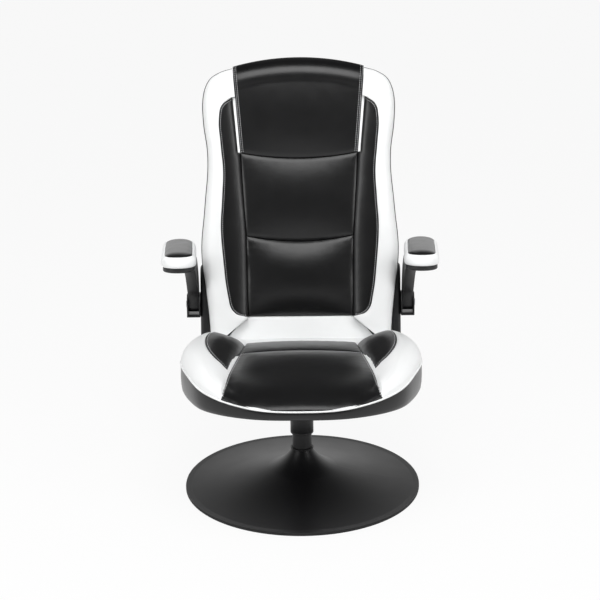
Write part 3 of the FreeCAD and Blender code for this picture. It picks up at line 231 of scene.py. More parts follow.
def birch_ply(name):
    """Bare birch plywood: pale, with long wavy grain."""
    material, shader, place = new_material(name)
    stretched = add_node(material, "ShaderNodeMapping", Vector=place, Scale=(1, 12, 12))
    rings = add_node(material, "ShaderNodeTexNoise", Vector=stretched.outputs["Vector"],
                     Scale=per_metre(90), Detail=6.0)
    link(material, blended(material, rings.outputs["Fac"], "#d8b98c", "#b98f5c"),
         shader.inputs["Base Color"])
    shader.inputs["Roughness"].default_value = 0.6
    return material


def dust_cloth(name):
    """Black spun-bonded cloth with a dimpled dot pattern of 1.5 mm."""
    material, shader, place = new_material(name)
    dots = add_node(material, "ShaderNodeTexVoronoi", Vector=place, Scale=per_metre(1.5),
                    Randomness=0.1)
    emboss(material, shader, (dots.outputs["Distance"], 0.5, 0.2))
    shader.inputs["Base Color"].default_value = colour("#1b1b1c")
    shader.inputs["Roughness"].default_value = 0.9
    return material


def sewing_thread(name, base):
    """Bonded polyester thread, three plies twisted, with a slight sheen."""
    material, shader, place = new_material(name)
    plies = add_node(material, "ShaderNodeTexNoise", Vector=place, Scale=per_metre(0.5), Detail=1.0)
    emboss(material, shader, (plies.outputs["Fac"], 0.4, 0.1))
    shader.inputs["Base Color"].default_value = colour(base)
    shader.inputs["Roughness"].default_value = 0.55
    shader.inputs["Sheen Weight"].default_value = 0.2
    return material


BLACK_LEATHERETTE = leatherette("black leatherette", "#0b0b0c", "#101011", 0.3)
WHITE_LEATHERETTE = leatherette("white leatherette", "#eceded", "#f4f5f5", 0.42)
COAT = powder_coat("satin black powder coat", "#0e0e10", 0.42)
NYLON = moulded_nylon("black moulded nylon", "#0f0f11", 0.42)
ZINC = plated_steel("zinc-plated steel", "#b9bcc0", 0.35)
SPRING_STEEL = plated_steel("oiled spring steel", "#6a6a6c", 0.4)
ACETAL = moulded_nylon("natural acetal", "#e4dfd0", 0.35)
RUBBER = moulded_rubber("black rubber", "#111112")
PLYWOOD = birch_ply("birch plywood")
DUST_CLOTH = dust_cloth("non-woven dust cloth")
GREY_THREAD = sewing_thread("grey polyester thread", "#c4c4c6")

FINISH = {
    "black_steel": COAT, "zinc_steel": ZINC, "spring_steel": SPRING_STEEL,
    "black_leatherette": BLACK_LEATHERETTE, "white_leatherette": WHITE_LEATHERETTE,
    "black_nylon": NYLON, "bearing_plastic": ACETAL, "black_rubber": RUBBER,
    "plywood": PLYWOOD, "dust_cloth": DUST_CLOTH,
}
SLOT_OF = {part["node"]: part["material_slot"] for part in frame["record"]["subparts"]}
BODY_OF = {node: body for body, nodes in frame["record"]["behaviour"]["bodies"].items()
           for node in nodes}


def dress_cad_nodes():
    """Gives every carried-over node its real finish. The board in the back is wrapped in
    cloth, because its edge shows between the front cover and the shell."""
    for node, part in CAD.items():
        part.data.materials.clear()
        part.data.materials.append(DUST_CLOTH if node == "back_frame" else FINISH[SLOT_OF[node]])


# Mesh tools


def made(name, shape, finish):
    """Turns a bmesh that is already in place into a smooth object with its finish."""
    mesh = bpy.data.meshes.new(name)
    shape.to_mesh(mesh)
    shape.free()
    mesh.materials.append(finish)
    mesh.shade_smooth()
    piece = bpy.data.objects.new(name, mesh)
    scene.collection.objects.link(piece)
    return piece


def settle(piece, body, slot, *nodes):
    """Rides the piece on its body and hides the nodes that it stands for. Its slot is not used."""
    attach(piece, body)
    if nodes:
        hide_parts(*nodes)


def subdivided(piece):
    """Rounds the piece off with one subdivision, applied to its mesh."""
    fine = piece.modifiers.new("Fine", "SUBSURF")
    fine.levels = 1
    fine.render_levels = 1
    graph = bpy.context.evaluated_depsgraph_get()
    mesh = bpy.data.meshes.new_from_object(piece.evaluated_get(graph))
    piece.modifiers.clear()
    piece.data = mesh


def solid_of(node):
    """A copy of a node's solid with its loose triangles joined."""
    shape = bmesh.new()
    shape.from_mesh(CAD[node].data)
    bmesh.ops.remove_doubles(shape, verts=shape.verts, dist=0.01 * MM)
    return shape


SHARP_ANGLE = math.radians(28)
SHADED_SHARP_ANGLE = math.radians(40)


def eased_copy(node, width):
    """A rigid node with its flat faces merged and its sharp edges eased by width."""
    shape = solid_of(node)
    bmesh.ops.dissolve_limit(shape, angle_limit=math.radians(0.5), verts=shape.verts,
                             edges=shape.edges)
    edges = [edge for edge in shape.edges if len(edge.link_faces) == 2
             and edge.calc_face_angle() > SHARP_ANGLE]
    bmesh.ops.bevel(shape, geom=edges, offset=width * MM, offset_type="OFFSET", affect="EDGES",
                    segments=2, profile=0.5, material=-1, clamp_overlap=True)
    slot = SLOT_OF[node]
    piece = made(node + "_finish", shape, FINISH[slot])
    piece.data.set_sharp_from_angle(angle=SHADED_SHARP_ANGLE)
    settle(piece, BODY_OF[node], slot, node)


# Parts whose edges are seen, and how far each edge is broken, in millimetres.
EASED_PAIRS = {"arm_post": 3.0, "arm_tray": 2.5, "arm_hinge_bracket": 1.5, "bracket_cover": 1.0,
               "side_bracket": 1.2, "arm_hinge_pin": 0.8}
EASED = {"cradle": 1.0, "rocker_plate": 1.0, "swivel_sleeve": 1.2, "sleeve_collar": 0.8,
         "post_collar": 0.8}

# Upholstery: a panel is a grid stretched between the four sides of its sewn edge. Cloth
# held at that edge swells over the foam, and the edge is drawn in along its seams.
# Panels are drawn on a page in millimetres: across, up the page, and out of it.

FRONT = BACK @ Matrix.Rotation(math.radians(90), 4, "X")
REAR = BACK @ Matrix.Rotation(math.radians(-90), 4, "X")

PITCH = 6.0
FINE_PITCH = 3.0
SWELL_STEPS = 20
PRESSURE = 4.0
# A height above every solid, from which rays drop onto a page.
ABOVE = 999
DOWN = Vector((0, 0, -1))
# Distances from a panel's edge to its first rows: at a seam, and where it rolls over.
SEAM = (0.0, 2.2, 5.5, 10.0)
ROLL = (0.0, 0.8, 3.0, 7.0, 13.0, 20.0)


def coordinates(mesh):
    """A mesh's vertices as an array of places."""
    flat = np.empty(len(mesh.vertices) * 3, np.float32)
    mesh.vertices.foreach_get("co", flat)
    return flat.reshape(-1, 3).astype(float)


def move_to(mesh, places):
    mesh.vertices.foreach_set("co", places.astype(np.float32).ravel())
    mesh.update()


def on_page(node, page):
    """A node's solid in the millimetres of a page."""
    shape = solid_of(node)
    bmesh.ops.transform(shape, matrix=page.inverted(), verts=shape.verts)
    shape.normal_update()
    return shape


def area_of(rim):
    """A closed line's area, above zero when it runs counterclockwise."""
    ahead = np.roll(rim, -1, axis=0)
    return (rim[:, 0] * ahead[:, 1] - ahead[:, 0] * rim[:, 1]).sum() / 2


def rim_of(shape):
    """The closed line where a solid's face turns down into its walls, counterclockwise."""
    following = {}
    for edge in shape.edges:
        if len(edge.link_faces) != 2:
            continue
        raised = [face.normal.z > 0.02 for face in edge.link_faces]
        if raised[0] != raised[1]:
            first, second = edge.verts
            following.setdefault(first, []).append(second)
            following.setdefault(second, []).append(first)
    widest, seen = np.zeros((0, 3)), set()
    for start in following:
        line = []
        while start and start not in seen:
            line.append(start)
            seen.add(start)
            start = next((vert for vert in following[start] if vert not in seen), None)
        rim = np.array([tuple(vert.co) for vert in line]).reshape(-1, 3)
        if abs(area_of(rim)) > abs(area_of(widest)):
            widest = rim
    return widest if area_of(widest) > 0 else widest[::-1]


def closed(rim):
    return np.concatenate((rim, rim[:1]))


def sides_of(rim, corners):
    """Cuts a rim at the points nearest to its corners: near, right, far and left side."""
    marks = [int(np.argmin(np.hypot(*(rim[:, :2] - corner).T))) for corner in corners]
    runs = []
    for start, end in zip(marks, marks[1:] + marks[:1]):
        if end > start:
            runs.append(rim[start:end + 1])
        else:
            runs.append(np.concatenate((rim[start:], rim[:end + 1])))
    return runs


def along(run, shares):
    """Points at shares of a line's length."""
    steps = np.hypot(*np.diff(run[:, :2], axis=0).T)
    reach = np.concatenate(([0], np.cumsum(steps)))
    return np.stack([np.interp(shares * reach[-1], reach, run[:, i]) for i in range(3)], axis=1)


def length_of(run):
    return np.hypot(*np.diff(run[:, :2], axis=0).T).sum()


def spread(length, first, last, pitch):
    """Shares of a length: evenly apart, and closer at its two ends."""
    middle = length - first[-1] - last[-1]
    count = max(1, round(middle / pitch))
    between = [first[-1] + middle * i / count for i in range(1, count)]
    ends = [length - step for step in reversed(last)]
    return np.array([*first, *between, *ends]) / length


def patch(sides, finish, pitch=PITCH):
    """Rows of points that fill four sides. finish names the rows at each side's edge."""
    near, right, far, left = sides
    u = spread((length_of(near) + length_of(far)) / 2, finish[3], finish[1], pitch)
    v = spread((length_of(left) + length_of(right)) / 2, finish[0], finish[2], pitch)
    low, high = along(near, u)[None], along(far[::-1], u)[None]
    west, east = along(left[::-1], v)[:, None], along(right, v)[:, None]
    u, v = u[None, :, None], v[:, None, None]
    corners = ((1 - u) * ((1 - v) * low[:, :1] + v * high[:, :1])
               + u * ((1 - v) * low[:, -1:] + v * high[:, -1:]))
    return (1 - v) * low + v * high + (1 - u) * west + u * east - corners


def draped(points, *solids):
    """Drops the inner points onto the highest of the solids."""
    trees = [BVHTree.FromBMesh(solid) for solid in solids]
    for row in points[1:-1]:
        for point in row[1:-1]:
            start = Vector((point[0], point[1], ABOVE))
            places = [tree.ray_cast(start, DOWN)[0] for tree in trees]
            heights = [place.z for place in places if place]
            if heights:
                point[2] = max(heights)
    return points


def grid_of(points):
    """A grid of quads on rows of points."""
    rows, columns = points.shape[:2]
    shape = bmesh.new()
    bmesh.ops.create_grid(shape, x_segments=columns - 1, y_segments=rows - 1, size=1)
    for vert in shape.verts:
        column = round((vert.co.x + 1) / 2 * (columns - 1))
        row = round((vert.co.y + 1) / 2 * (rows - 1))
        vert.co = Vector(points[row, column])
    return shape


def walled(shape, floor):
    """Closes a face with walls down to the floor and a bottom."""
    for drop in (2.0, 5.0, None):
        border = [edge for edge in shape.edges if edge.is_boundary]
        lower = bmesh.ops.extrude_edge_only(shape, edges=border)["geom"]
        for vert in (item for item in lower if isinstance(item, bmesh.types.BMVert)):
            vert.co.z = floor if drop is None else max(vert.co.z - drop, floor + 0.4)
    border = [edge for edge in shape.edges if edge.is_boundary]
    bmesh.ops.triangle_fill(shape, edges=border, use_beauty=False)
    bmesh.ops.recalc_face_normals(shape, faces=shape.faces)
    return shape


def swell(panels):
    """Runs the cloth of all panels together. Each one's edge, walls and bottom are held."""
    for piece, free, _ in panels:
        held = piece.vertex_groups.new(name="held")
        held.add([i for i in range(len(piece.data.vertices)) if i not in free], 1.0, "REPLACE")
        cloth = piece.modifiers.new("Swell", "CLOTH")
        cloth.settings.quality = 4
        cloth.settings.use_pressure = True
        cloth.settings.uniform_pressure_force = PRESSURE
        cloth.settings.effector_weights.gravity = 0
        cloth.settings.vertex_group_mass = "held"
    for step in range(1, SWELL_STEPS + 1):
        scene.frame_set(step)
    graph = bpy.context.evaluated_depsgraph_get()
    for piece, _, cap in panels:
        rest = coordinates(piece.data)
        move = coordinates(piece.evaluated_get(graph).to_mesh()) - rest
        piece.modifiers.clear()
        piece.vertex_groups.clear()
        most = np.percentile(np.linalg.norm(move, axis=1), 99)
        move_to(piece.data, rest + move * min(1, cap * MM / max(most, 1e-9)))
    scene.frame_set(1)


def ease(value, low, high):
    """A smooth step from 0 at low to 1 at high."""
    share = np.clip((value - low) / (high - low), 0, 1)
    return share * share * (3 - 2 * share)


def seam_tree(lines):
    """A search tree of points 1.5 mm apart along seams, with the length run so far."""
    places, reached, start = [], [], 0.0
    for line in lines:
        count = max(2, int(length_of(line) / 1.5))
        places.append(along(line, np.linspace(0, 1, count))[:, :2])
        reached.append(start + np.linspace(0, length_of(line), count))
        start += length_of(line)
    places, reached = np.concatenate(places), np.concatenate(reached)
    tree = KDTree(len(places))
    for i, place in enumerate(places):
        tree.insert((place[0], place[1], 0), i)
    tree.balance()
    return tree, reached


def draw_in(places, lines, tuck, pucker, wave=23.0):
    """Draws points on a page down at their seams, with shallow puckers running off them."""
    tree, reached = seam_tree(lines)
    for place in places:
        _, i, gap = tree.find((place[0], place[1], 0))
        phase = reached[i] / wave * 2 * math.pi
        ripple = math.sin(phase + 1.3 * math.sin(phase * 0.37))
        place[2] -= tuck * math.exp(-(gap / 4.2) ** 2)
        place[2] += pucker * ripple * math.exp(-gap / 13) * min(1, gap / 4)
    return places


def smoothed(points, width, mode):
    """A running mean over a line's points, whose ends are held or wrap around."""
    points = np.pad(points, ((width // 2, width // 2), (0, 0)), mode=mode)
    return np.stack([np.convolve(points[:, i], np.ones(width) / width, "valid")
                     for i in range(3)], axis=1)


def nearest(place, line):
    return line[np.argmin(np.hypot(*(line[:, :2] - place[:2]).T))]


def seat_outline():
    """The seat's outline at its piping, with the front edge hung in one even curve."""
    rim = along(closed(rim_of(on_page("seat_skirt", SEAT))), np.arange(0, 1, 1 / 720))
    even = smoothed(rim, 41, "wrap")
    front = ease(-rim[:, 1], 255, 320)[:, None]
    rim = rim * (1 - front) + even * front
    rim[:, 2] -= front[:, 0] * 3 * np.maximum(0, 1 - (rim[:, 0] / 150) ** 2)
    rim[:, 1] -= front[:, 0] * 1.5
    return rim


def lengthened(points):
    """Takes the front pad on towards the piping, down the round front of the seat."""
    piping = seat_outline()
    way = [nearest(place, piping) - place for place in points[0]]
    reach = np.array([step * (0.52 + 0.2 * (place[0] / 186) ** 2)
                      for step, place in zip(way, points[0])])
    reach[:, :2] += [step[:2] / np.hypot(*step[:2]) * 2.2 for step in way]
    reach = smoothed(reach, 19, "edge")
    for share, row in zip(np.linspace(0, 1, len(points)), points):
        row += reach * (1 - ease(share, 0, 0.4))
    return points


def footed(points):
    """Takes a back bolster down past the seat's edge, beside the lower panel: its foot
    drops 19 mm, and its inner edge moves 23 mm out."""
    for share, row in zip(np.linspace(0, 1, len(points)), points):
        fade = max(0, 1 - share / 0.07)
        row[:, 0] += 23 * fade * np.linspace(1, 0, len(row))
        row[:, 1] -= 19 * fade
    return points


def hung(points):
    """Takes the lower panel of the back 14 mm further down behind the seat."""
    for share, row in zip(np.linspace(0, 1, len(points)), points):
        row[:, 1] -= 14 * max(0, 1 - share / 0.5)
    return points


def cover(node, page, corners, finish):
    """A panel's closed grid, with its free points and its four sides."""
    solid = on_page(node, page)
    sides = sides_of(rim_of(solid), corners)
    points = draped(patch(sides, finish), solid)
    if node == "seat_pad_front":
        points = lengthened(points)
        sides = [points[0].copy(), points[:, -1].copy(), sides[2], points[::-1, 0].copy()]
    if node == "back_bolster_left":
        points = footed(points)
    if node == "back_lower_panel":
        points = hung(points)
    shape = grid_of(points)
    free = {vert.index for vert in shape.verts if not vert.is_boundary}
    walled(shape, min(vert.co.z for vert in solid.verts) - 1.5)
    solid.free()
    bmesh.ops.transform(shape, matrix=page, verts=shape.verts)
    piece = made(node + "_cover", shape, FINISH[SLOT_OF[node]])
    return piece, free, sides


def finished(piece, page, seams, tuck, pucker):
    """Draws a swollen panel in at its seams and subdivides it."""
    if seams:
        there, back = np.array(page.inverted()), np.array(page)
        places = coordinates(piece.data) @ there[:3, :3].T + there[:3, 3]
        places = draw_in(places, seams, tuck, pucker)
        move_to(piece.data, places @ back[:3, :3].T + back[:3, 3])
    subdivided(piece)
    piece.data.shade_smooth()


def mirrored(piece, name):
    """The same piece on the other side of the chair."""
    shape = bmesh.new()
    shape.from_mesh(piece.data)
    bmesh.ops.scale(shape, vec=(-1, 1, 1), verts=shape.verts)
    bmesh.ops.reverse_faces(shape, faces=shape.faces)
    return made(name, shape, piece.data.materials[0])


def inside(places, rim):
    """Which places lie within a closed line, by the even-odd rule."""
    result = np.zeros(len(places), bool)
    for (x0, y0), (x1, y1) in zip(rim[:, :2], np.roll(rim[:, :2], -1, axis=0)):
        if y0 == y1:
            continue
        crossed = (places[:, 1] < y0) != (places[:, 1] < y1)
        result ^= crossed & (places[:, 0] < x0 + (places[:, 1] - y0) / (y1 - y0) * (x1 - x0))
    return result


SEAT_PANELS = ("seat_pad_front", "seat_pad_rear", "seat_insert_left", "seat_insert_right")
SEAT_CORNERS = ((-212, -308), (212, -308), (234, 142), (-234, 142))
# How far the white cover lies below the edge of a black panel, how fast it drops
# further in under the panel, and how deep it goes there, in millimetres.
TUCKED = 1.1
TUCK_SLOPE = 3.2
TUCK_DEPTH = 12
TUCK_REACH = 4.5


def make_seat_bolster(sewn):
    """The white cover of the seat. It runs on under the black panels, sunk below them."""
    solid = on_page("seat_bolster", SEAT)
    others = [on_page(node, SEAT) for node in SEAT_PANELS]
    outer = seat_outline()
    points = draped(patch(sides_of(outer, SEAT_CORNERS), (ROLL, ROLL, SEAM, ROLL), FINE_PITCH),
                    solid, *others)
    flat = points.reshape(-1, 3)
    covered = np.zeros(len(flat), bool)
    for rim in sewn:
        covered |= inside(flat, rim)
    tree, _ = seam_tree([closed(rim) for rim in sewn])
    gap = np.array([tree.find((place[0], place[1], 0))[2] for place in flat])
    sunk = np.where(covered, np.minimum(TUCKED + TUCK_SLOPE * gap, TUCK_DEPTH),
                    TUCKED * np.exp(-(gap / TUCK_REACH) ** 2))
    inner = np.zeros(points.shape[:2], bool)
    inner[1:-1, 1:-1] = True
    flat[:, 2] -= sunk * inner.ravel()
    shape = walled(grid_of(points), min(vert.co.z for vert in solid.verts) - 1)
    bmesh.ops.transform(shape, matrix=SEAT, verts=shape.verts)
    piece = made("seat_bolster_cover", shape, WHITE_LEATHERETTE)
    settle(piece, "seat", "white_leatherette", "seat_bolster")
    return outer


# The black side wall under the piping: share of its height, how far it stands out.
SKIRT_FOOT = 287.0
SKIRT_POINTS = 280
SKIRT_ROWS = ((0.06, 0.2), (0.2, 1.0), (0.45, 1.4), (0.7, 0.6), (0.88, -1.4), (0.97, -4.5),
              (1.0, -9.0), (1.0, -14.0), (0.5, -14.0), (0.06, -14.0))


def outward(rim):
    """Unit normals of a closed line, pointing out of it."""
    way = np.roll(rim, -1, axis=0) - np.roll(rim, 1, axis=0)
    normal = np.stack([way[:, 1], -way[:, 0]], axis=1)
    return normal / np.linalg.norm(normal, axis=1)[:, None]


def tube(name, line, radius, page, finish, looped):
    """A round bead along points on a page."""
    curve = bpy.data.curves.new(name, "CURVE")
    curve.dimensions = "3D"
    curve.bevel_depth = radius
    curve.bevel_resolution = 2
    spline = curve.splines.new("POLY")
    spline.points.add(len(line) - 1)
    for point, place in zip(spline.points, line):
        point.co = (*place, 1)
    spline.use_cyclic_u = looped
    curve.use_fill_caps = not looped
    holder = bpy.data.objects.new(name, curve)
    shape = bmesh.new()
    shape.from_mesh(bpy.data.meshes.new_from_object(holder))
    bpy.data.objects.remove(holder)
    bmesh.ops.transform(shape, matrix=page, verts=shape.verts)
    return made(name, shape, finish)


def make_skirt(outer):
    """The seat's side wall and the white piping above it."""
    rim = along(closed(outer), np.arange(0, 1, 1 / SKIRT_POINTS))
    rim[:, 2] = smoothed(rim, 5, "wrap")[:, 2]
    normal = outward(rim)
    shape = bmesh.new()
    ring = bmesh.ops.create_circle(shape, segments=SKIRT_POINTS, radius=1)["verts"]
    for vert, place in zip(ring, rim):
        vert.co = Vector((place[0], place[1], place[2] - 0.4))
    border = shape.edges[:]
    for share, out in SKIRT_ROWS:
        lower = bmesh.ops.extrude_edge_only(shape, edges=border)["geom"]
        ring = [item for item in lower if isinstance(item, bmesh.types.BMVert)]
        border = [item for item in lower if isinstance(item, bmesh.types.BMEdge)]
        for vert, place, way in zip(ring, rim, normal):
            height = place[2] + (SKIRT_FOOT - place[2]) * share
            vert.co = Vector((place[0] + out * way[0], place[1] + out * way[1], height))
    ends = [edge for edge in shape.edges if edge.is_boundary]
    bmesh.ops.bridge_loops(shape, edges=ends)
    bmesh.ops.recalc_face_normals(shape, faces=shape.faces)
    bmesh.ops.transform(shape, matrix=SEAT, verts=shape.verts)
    wall = made("seat_skirt_cover", shape, BLACK_LEATHERETTE)
    settle(wall, "seat", "black_leatherette", "seat_skirt")
    bead = rim.copy()
    bead[:, :2] += normal * 0.6
    piping = tube("seat_piping", bead, 2.3, SEAT, WHITE_LEATHERETTE, True)
    settle(piping, "seat", "white_leatherette")


STRIPE_CORNERS = ((155.1, 468), (161, 468), (173.7, 612.5), (166.7, 612.5))


def twinned(shape, geometry):
    """Copies geometry to the other side of the chair and returns the copied faces."""
    twin = bmesh.ops.duplicate(shape, geom=geometry)["geom"]
    bmesh.ops.scale(shape, vec=(-1, 1, 1),
                    verts=[item for item in twin if isinstance(item, bmesh.types.BMVert)])
    return [item for item in twin if isinstance(item, bmesh.types.BMFace)]


def make_stripes():
    """The two white stripes beside the headrest, as one piece."""
    solid = on_page("headrest_stripes", FRONT)
    far = [vert for vert in solid.verts if vert.co.x < 0]
    bmesh.ops.delete(solid, geom=far, context="VERTS")
    narrow, long = (0.0, 0.8), (0.0, 2.0)
    points = patch(sides_of(rim_of(solid), STRIPE_CORNERS), (long, narrow, long, narrow), 1.5)
    points[:, 1:-1, 2] += 1.2
    shape = walled(grid_of(points), 8)
    bmesh.ops.transform(shape, matrix=FRONT, verts=shape.verts)
    faces = twinned(shape, shape.verts[:] + shape.edges[:] + shape.faces[:])
    bmesh.ops.reverse_faces(shape, faces=faces)
    piece = made("headrest_stripes_cover", shape, WHITE_LEATHERETTE)
    settle(piece, "seat", "white_leatherette", "headrest_stripes")


# The arm pads: radius and height of each ring of their section, in millimetres.
BAND_PROFILE = ((30, 0), (38, 0), (40.6, 1.4), (42.2, 6), (42.6, 12), (42.0, 18), (40.4, 23),
                (38, 27), (35.2, 29.6), (33.6, 29.9), (32.6, 28.6), (32, 25))
TOP_PROFILE = ((2, 24), (31.6, 24), (32.6, 28.2), (33.0, 29.8), (31.6, 31.6), (27, 34.6),
               (19, 37.2), (10, 38.6), (2, 39))
PAD_LENGTH = 271.0
PAD_WIDTH = 84.0
PAD_CENTRE = (297.5, -95.5)
PAD_FLOOR = 622.6
PAD_TOE_IN = math.radians(4)
# The pads are lower than their section as drawn, and crowned along their length.
PAD_PRESS = 0.88
PAD_CROWN = 0.06
PAD_CROWN_FROM = 20
PAD_CROWN_LENGTH = 90


def arm_page(side):
    """The page of an arm pad: its middle on top of the tray, turned with its toe-in."""
    return (SEAT @ Matrix.Translation((side * PAD_CENTRE[0], PAD_CENTRE[1], PAD_FLOOR))
            @ Matrix.Rotation(-side * PAD_TOE_IN, 4, "Z"))


def spun(profile):
    """A profile of radius and height, turned about Z. An open ring is closed to a hoop."""
    shape = bmesh.new()
    verts = [shape.verts.new((radius, 0, height)) for radius, height in profile]
    edges = [shape.edges.new(pair) for pair in zip(verts, verts[1:])]
    if profile[-1][0] > 5:
        edges.append(shape.edges.new((verts[-1], verts[0])))
    bmesh.ops.spin(shape, geom=verts + edges, angle=math.tau, steps=48, axis=(0, 0, 1),
                   cent=(0, 0, 0), use_merge=True)
    bmesh.ops.remove_doubles(shape, verts=shape.verts, dist=0.01)
    return shape


def stretched(shape, length):
    """Draws a round pad out along Y, with rows 8 mm apart between its round ends.
    A smallest ring that is still open closes to a line."""
    for vert in shape.verts:
        if abs(vert.co.y) > 0.01:
            vert.co.y += math.copysign(length / 2, vert.co.y)
    long = [edge for edge in shape.edges if edge.calc_length() > length / 2 - 12]
    bmesh.ops.subdivide_edges(shape, edges=long, cuts=round(length / 16), use_grid_fill=True)
    for vert in shape.verts:
        if vert.is_boundary:
            vert.co.x = 0
    bmesh.ops.remove_doubles(shape, verts=shape.verts, dist=0.02)
    return shape


def make_arm_pad(name, side):
    """A white leatherette band with a black crowned panel sewn into its top."""
    for kind, profile, finish in (("band", BAND_PROFILE, WHITE_LEATHERETTE),
                                  ("top", TOP_PROFILE, BLACK_LEATHERETTE)):
        shape = stretched(spun(profile), PAD_LENGTH - PAD_WIDTH)
        for vert in shape.verts:
            crown = max(0, vert.co.z - PAD_CROWN_FROM) * PAD_CROWN
            vert.co.z = (vert.co.z * PAD_PRESS
                         + crown * math.cos(vert.co.y / PAD_CROWN_LENGTH))
        ends = [edge for edge in shape.edges if edge.is_boundary]
        bmesh.ops.holes_fill(shape, edges=ends, sides=0)
        bmesh.ops.recalc_face_normals(shape, faces=shape.faces)
        bmesh.ops.transform(shape, matrix=arm_page(side), verts=shape.verts)
        node = f"arm_pad_{kind}_{name}"
        piece = made(node + "_cover", shape, finish)
        subdivided(piece)
        settle(piece, BODY_OF[node], SLOT_OF[node], node)


# Node: page, corners, rows at the near, right, far and left side, how far it swells,
# how far its seams tuck in and how deep they pucker.
PANELS = {
    "headrest_pad": (FRONT, ((-155.2, 468.5), (155.2, 468.5), (172.9, 695.7), (-172.9, 695.7)),
                     (SEAM, SEAM, ROLL, SEAM), 3.0, 1.3, 0.15),
    "mid_back_pad": (FRONT, ((-142, 249.5), (142, 249.5), (155.1, 467.5), (-155.1, 467.5)),
                     (SEAM, SEAM, SEAM, SEAM), 4.0, 1.6, 0.35),
    "lumbar_pad": (FRONT, ((-139, 36.5), (139, 36.5), (142, 248.5), (-142, 248.5)),
                   (SEAM, SEAM, SEAM, SEAM), 5.0, 1.8, 0.45),
    "back_lower_panel": (FRONT, ((-203, -19), (203, -19), (137, 34.9), (-137, 34.9)),
                         (SEAM, SEAM, SEAM, SEAM), 2.5, 1.0, 0.2),
    "back_shell": (REAR, ((-185, -670), (185, -670), (243, 30), (-243, 30)),
                   (ROLL, ROLL, ROLL, ROLL), 4.0, 0.0, 0.0),
    "seat_pad_rear": (SEAT, ((-155.5, -39.5), (155.5, -39.5), (142, 83.5), (-142, 83.5)),
                      (SEAM, SEAM, SEAM, SEAM), 3.0, 1.6, 0.4),
    "seat_pad_front": (SEAT, ((-186.5, -322.5), (186.5, -322.5), (155.5, -40.5), (-155.5, -40.5)),
                       (SEAM, SEAM, SEAM, SEAM), 4.0, 1.4, 0.4),
}
# The same for the left one of a pair.
PAIRED_PANELS = {
    "back_insert": (FRONT, ((139.3, 35.4), (186, 62), (205, 585), (174.3, 612.6)),
                    (SEAM, SEAM, SEAM, SEAM), 2.0, 1.5, 0.3),
    "back_bolster": (FRONT, ((180, 0), (238, 0), (172.8, 688.8), (166.7, 613)),
                     (SEAM, ROLL, SEAM, SEAM), 2.0, 0.9, 0.12),
    "seat_insert": (SEAT, ((181, -192), (239, -20), (187, 69), (147, 47)),
                    (SEAM, SEAM, SEAM, SEAM), 2.5, 1.4, 0.3),
}


# From stitch to stitch, and half a stitch's length, width and height.
STITCH = 5.6
STITCH_SIZE = (2.2, 0.75, 0.7, 1)
# Node, the sides sewn over, and how far inside the edge each row of stitches runs.
# The sides count from the near one, counterclockwise.
STITCHED = (
    ("headrest_pad", (1,), (3.2, 8.0)), ("headrest_pad", (3,), (3.2, 8.0)),
    ("back_insert_left", (0, 1, 2), (4.6,)), ("seat_insert_left", (0, 1, 2), (4.8,)),
    ("seat_pad_front", (1,), (5.0,)), ("seat_pad_front", (3,), (5.0,)),
    ("seat_pad_front", (2,), (3.4,)), ("back_lower_panel", (1,), (3.0,)),
    ("back_lower_panel", (3,), (3.0,)),
)


def stitches_on(shape, piece, page, line, inset):
    """Lays short raised stitches on a piece, along a line moved in from its edge."""
    mesh = bmesh.new()
    mesh.from_mesh(piece.data)
    bmesh.ops.transform(mesh, matrix=page.inverted(), verts=mesh.verts)
    tree = BVHTree.FromBMesh(mesh)
    mesh.free()
    count = int(length_of(line) / STITCH)
    places = along(line, np.linspace(0.012, 0.988, count))
    way = np.gradient(places[:, :2], axis=0)
    way /= np.linalg.norm(way, axis=1)[:, None]
    places[:, 0] -= way[:, 1] * inset
    places[:, 1] += way[:, 0] * inset
    for place, (run, rise) in zip(places, way):
        top, normal = tree.ray_cast(Vector((place[0], place[1], ABOVE)), DOWN)[:2]
        if not top:
            continue
        top += normal * 0.35
        lengthwise = Vector((run, rise, 0))
        lengthwise = (lengthwise - normal * lengthwise.dot(normal)).normalized()
        turn = Matrix((lengthwise, normal.cross(lengthwise), normal)).transposed().to_4x4()
        bmesh.ops.create_uvsphere(
            shape, u_segments=6, v_segments=4, radius=1,
            matrix=page @ Matrix.Translation(top) @ turn @ Matrix.Diagonal(STITCH_SIZE))


def stitch_rows(shape, node, page, cover_made, sewn, insets):
    """All stitches of one panel, and of its twin where it is one of a pair."""
    piece, _, sides = cover_made
    line = np.concatenate([sides[i] for i in sewn])
    apart = np.hypot(*np.diff(line[:, :2], axis=0).T) > 0.01
    line = line[np.concatenate(([True], apart))]
    for inset in insets:
        first = len(shape.verts)
        stitches_on(shape, piece, page, line, inset)
        if node.endswith("_left"):
            shape.verts.ensure_lookup_table()
            new = shape.verts[first:]
            faces = list({face for vert in new for face in vert.link_faces})
            faces.sort(key=lambda face: face.calc_center_median().z)
            twinned(shape, new + faces)


def make_stitching(covers, pages):
    """Grey thread along the seams, one piece for the back and one for the seat."""
    for name, page in (("back_stitching", FRONT), ("seat_stitching", SEAT)):
        shape = bmesh.new()
        for node, sewn, insets in STITCHED:
            if pages[node] is page:
                stitch_rows(shape, node, page, covers[node], sewn, insets)
        bmesh.ops.recalc_face_normals(shape, faces=shape.faces)
        thread = made(name, shape, GREY_THREAD)
        settle(thread, "seat", "white_leatherette")


def make_back_piping(edge):
    """The narrow black edge where the front of the back meets its shell."""
    for name, side in SIDES.items():
        line = edge.copy()
        line[:, 0] = side * (line[:, 0] + 0.6)
        line[:, 2] = 9.0
        bead = tube("back_piping_" + name, line, 2.0, FRONT, BLACK_LEATHERETTE, False)
        settle(bead, "seat", "black_leatherette")


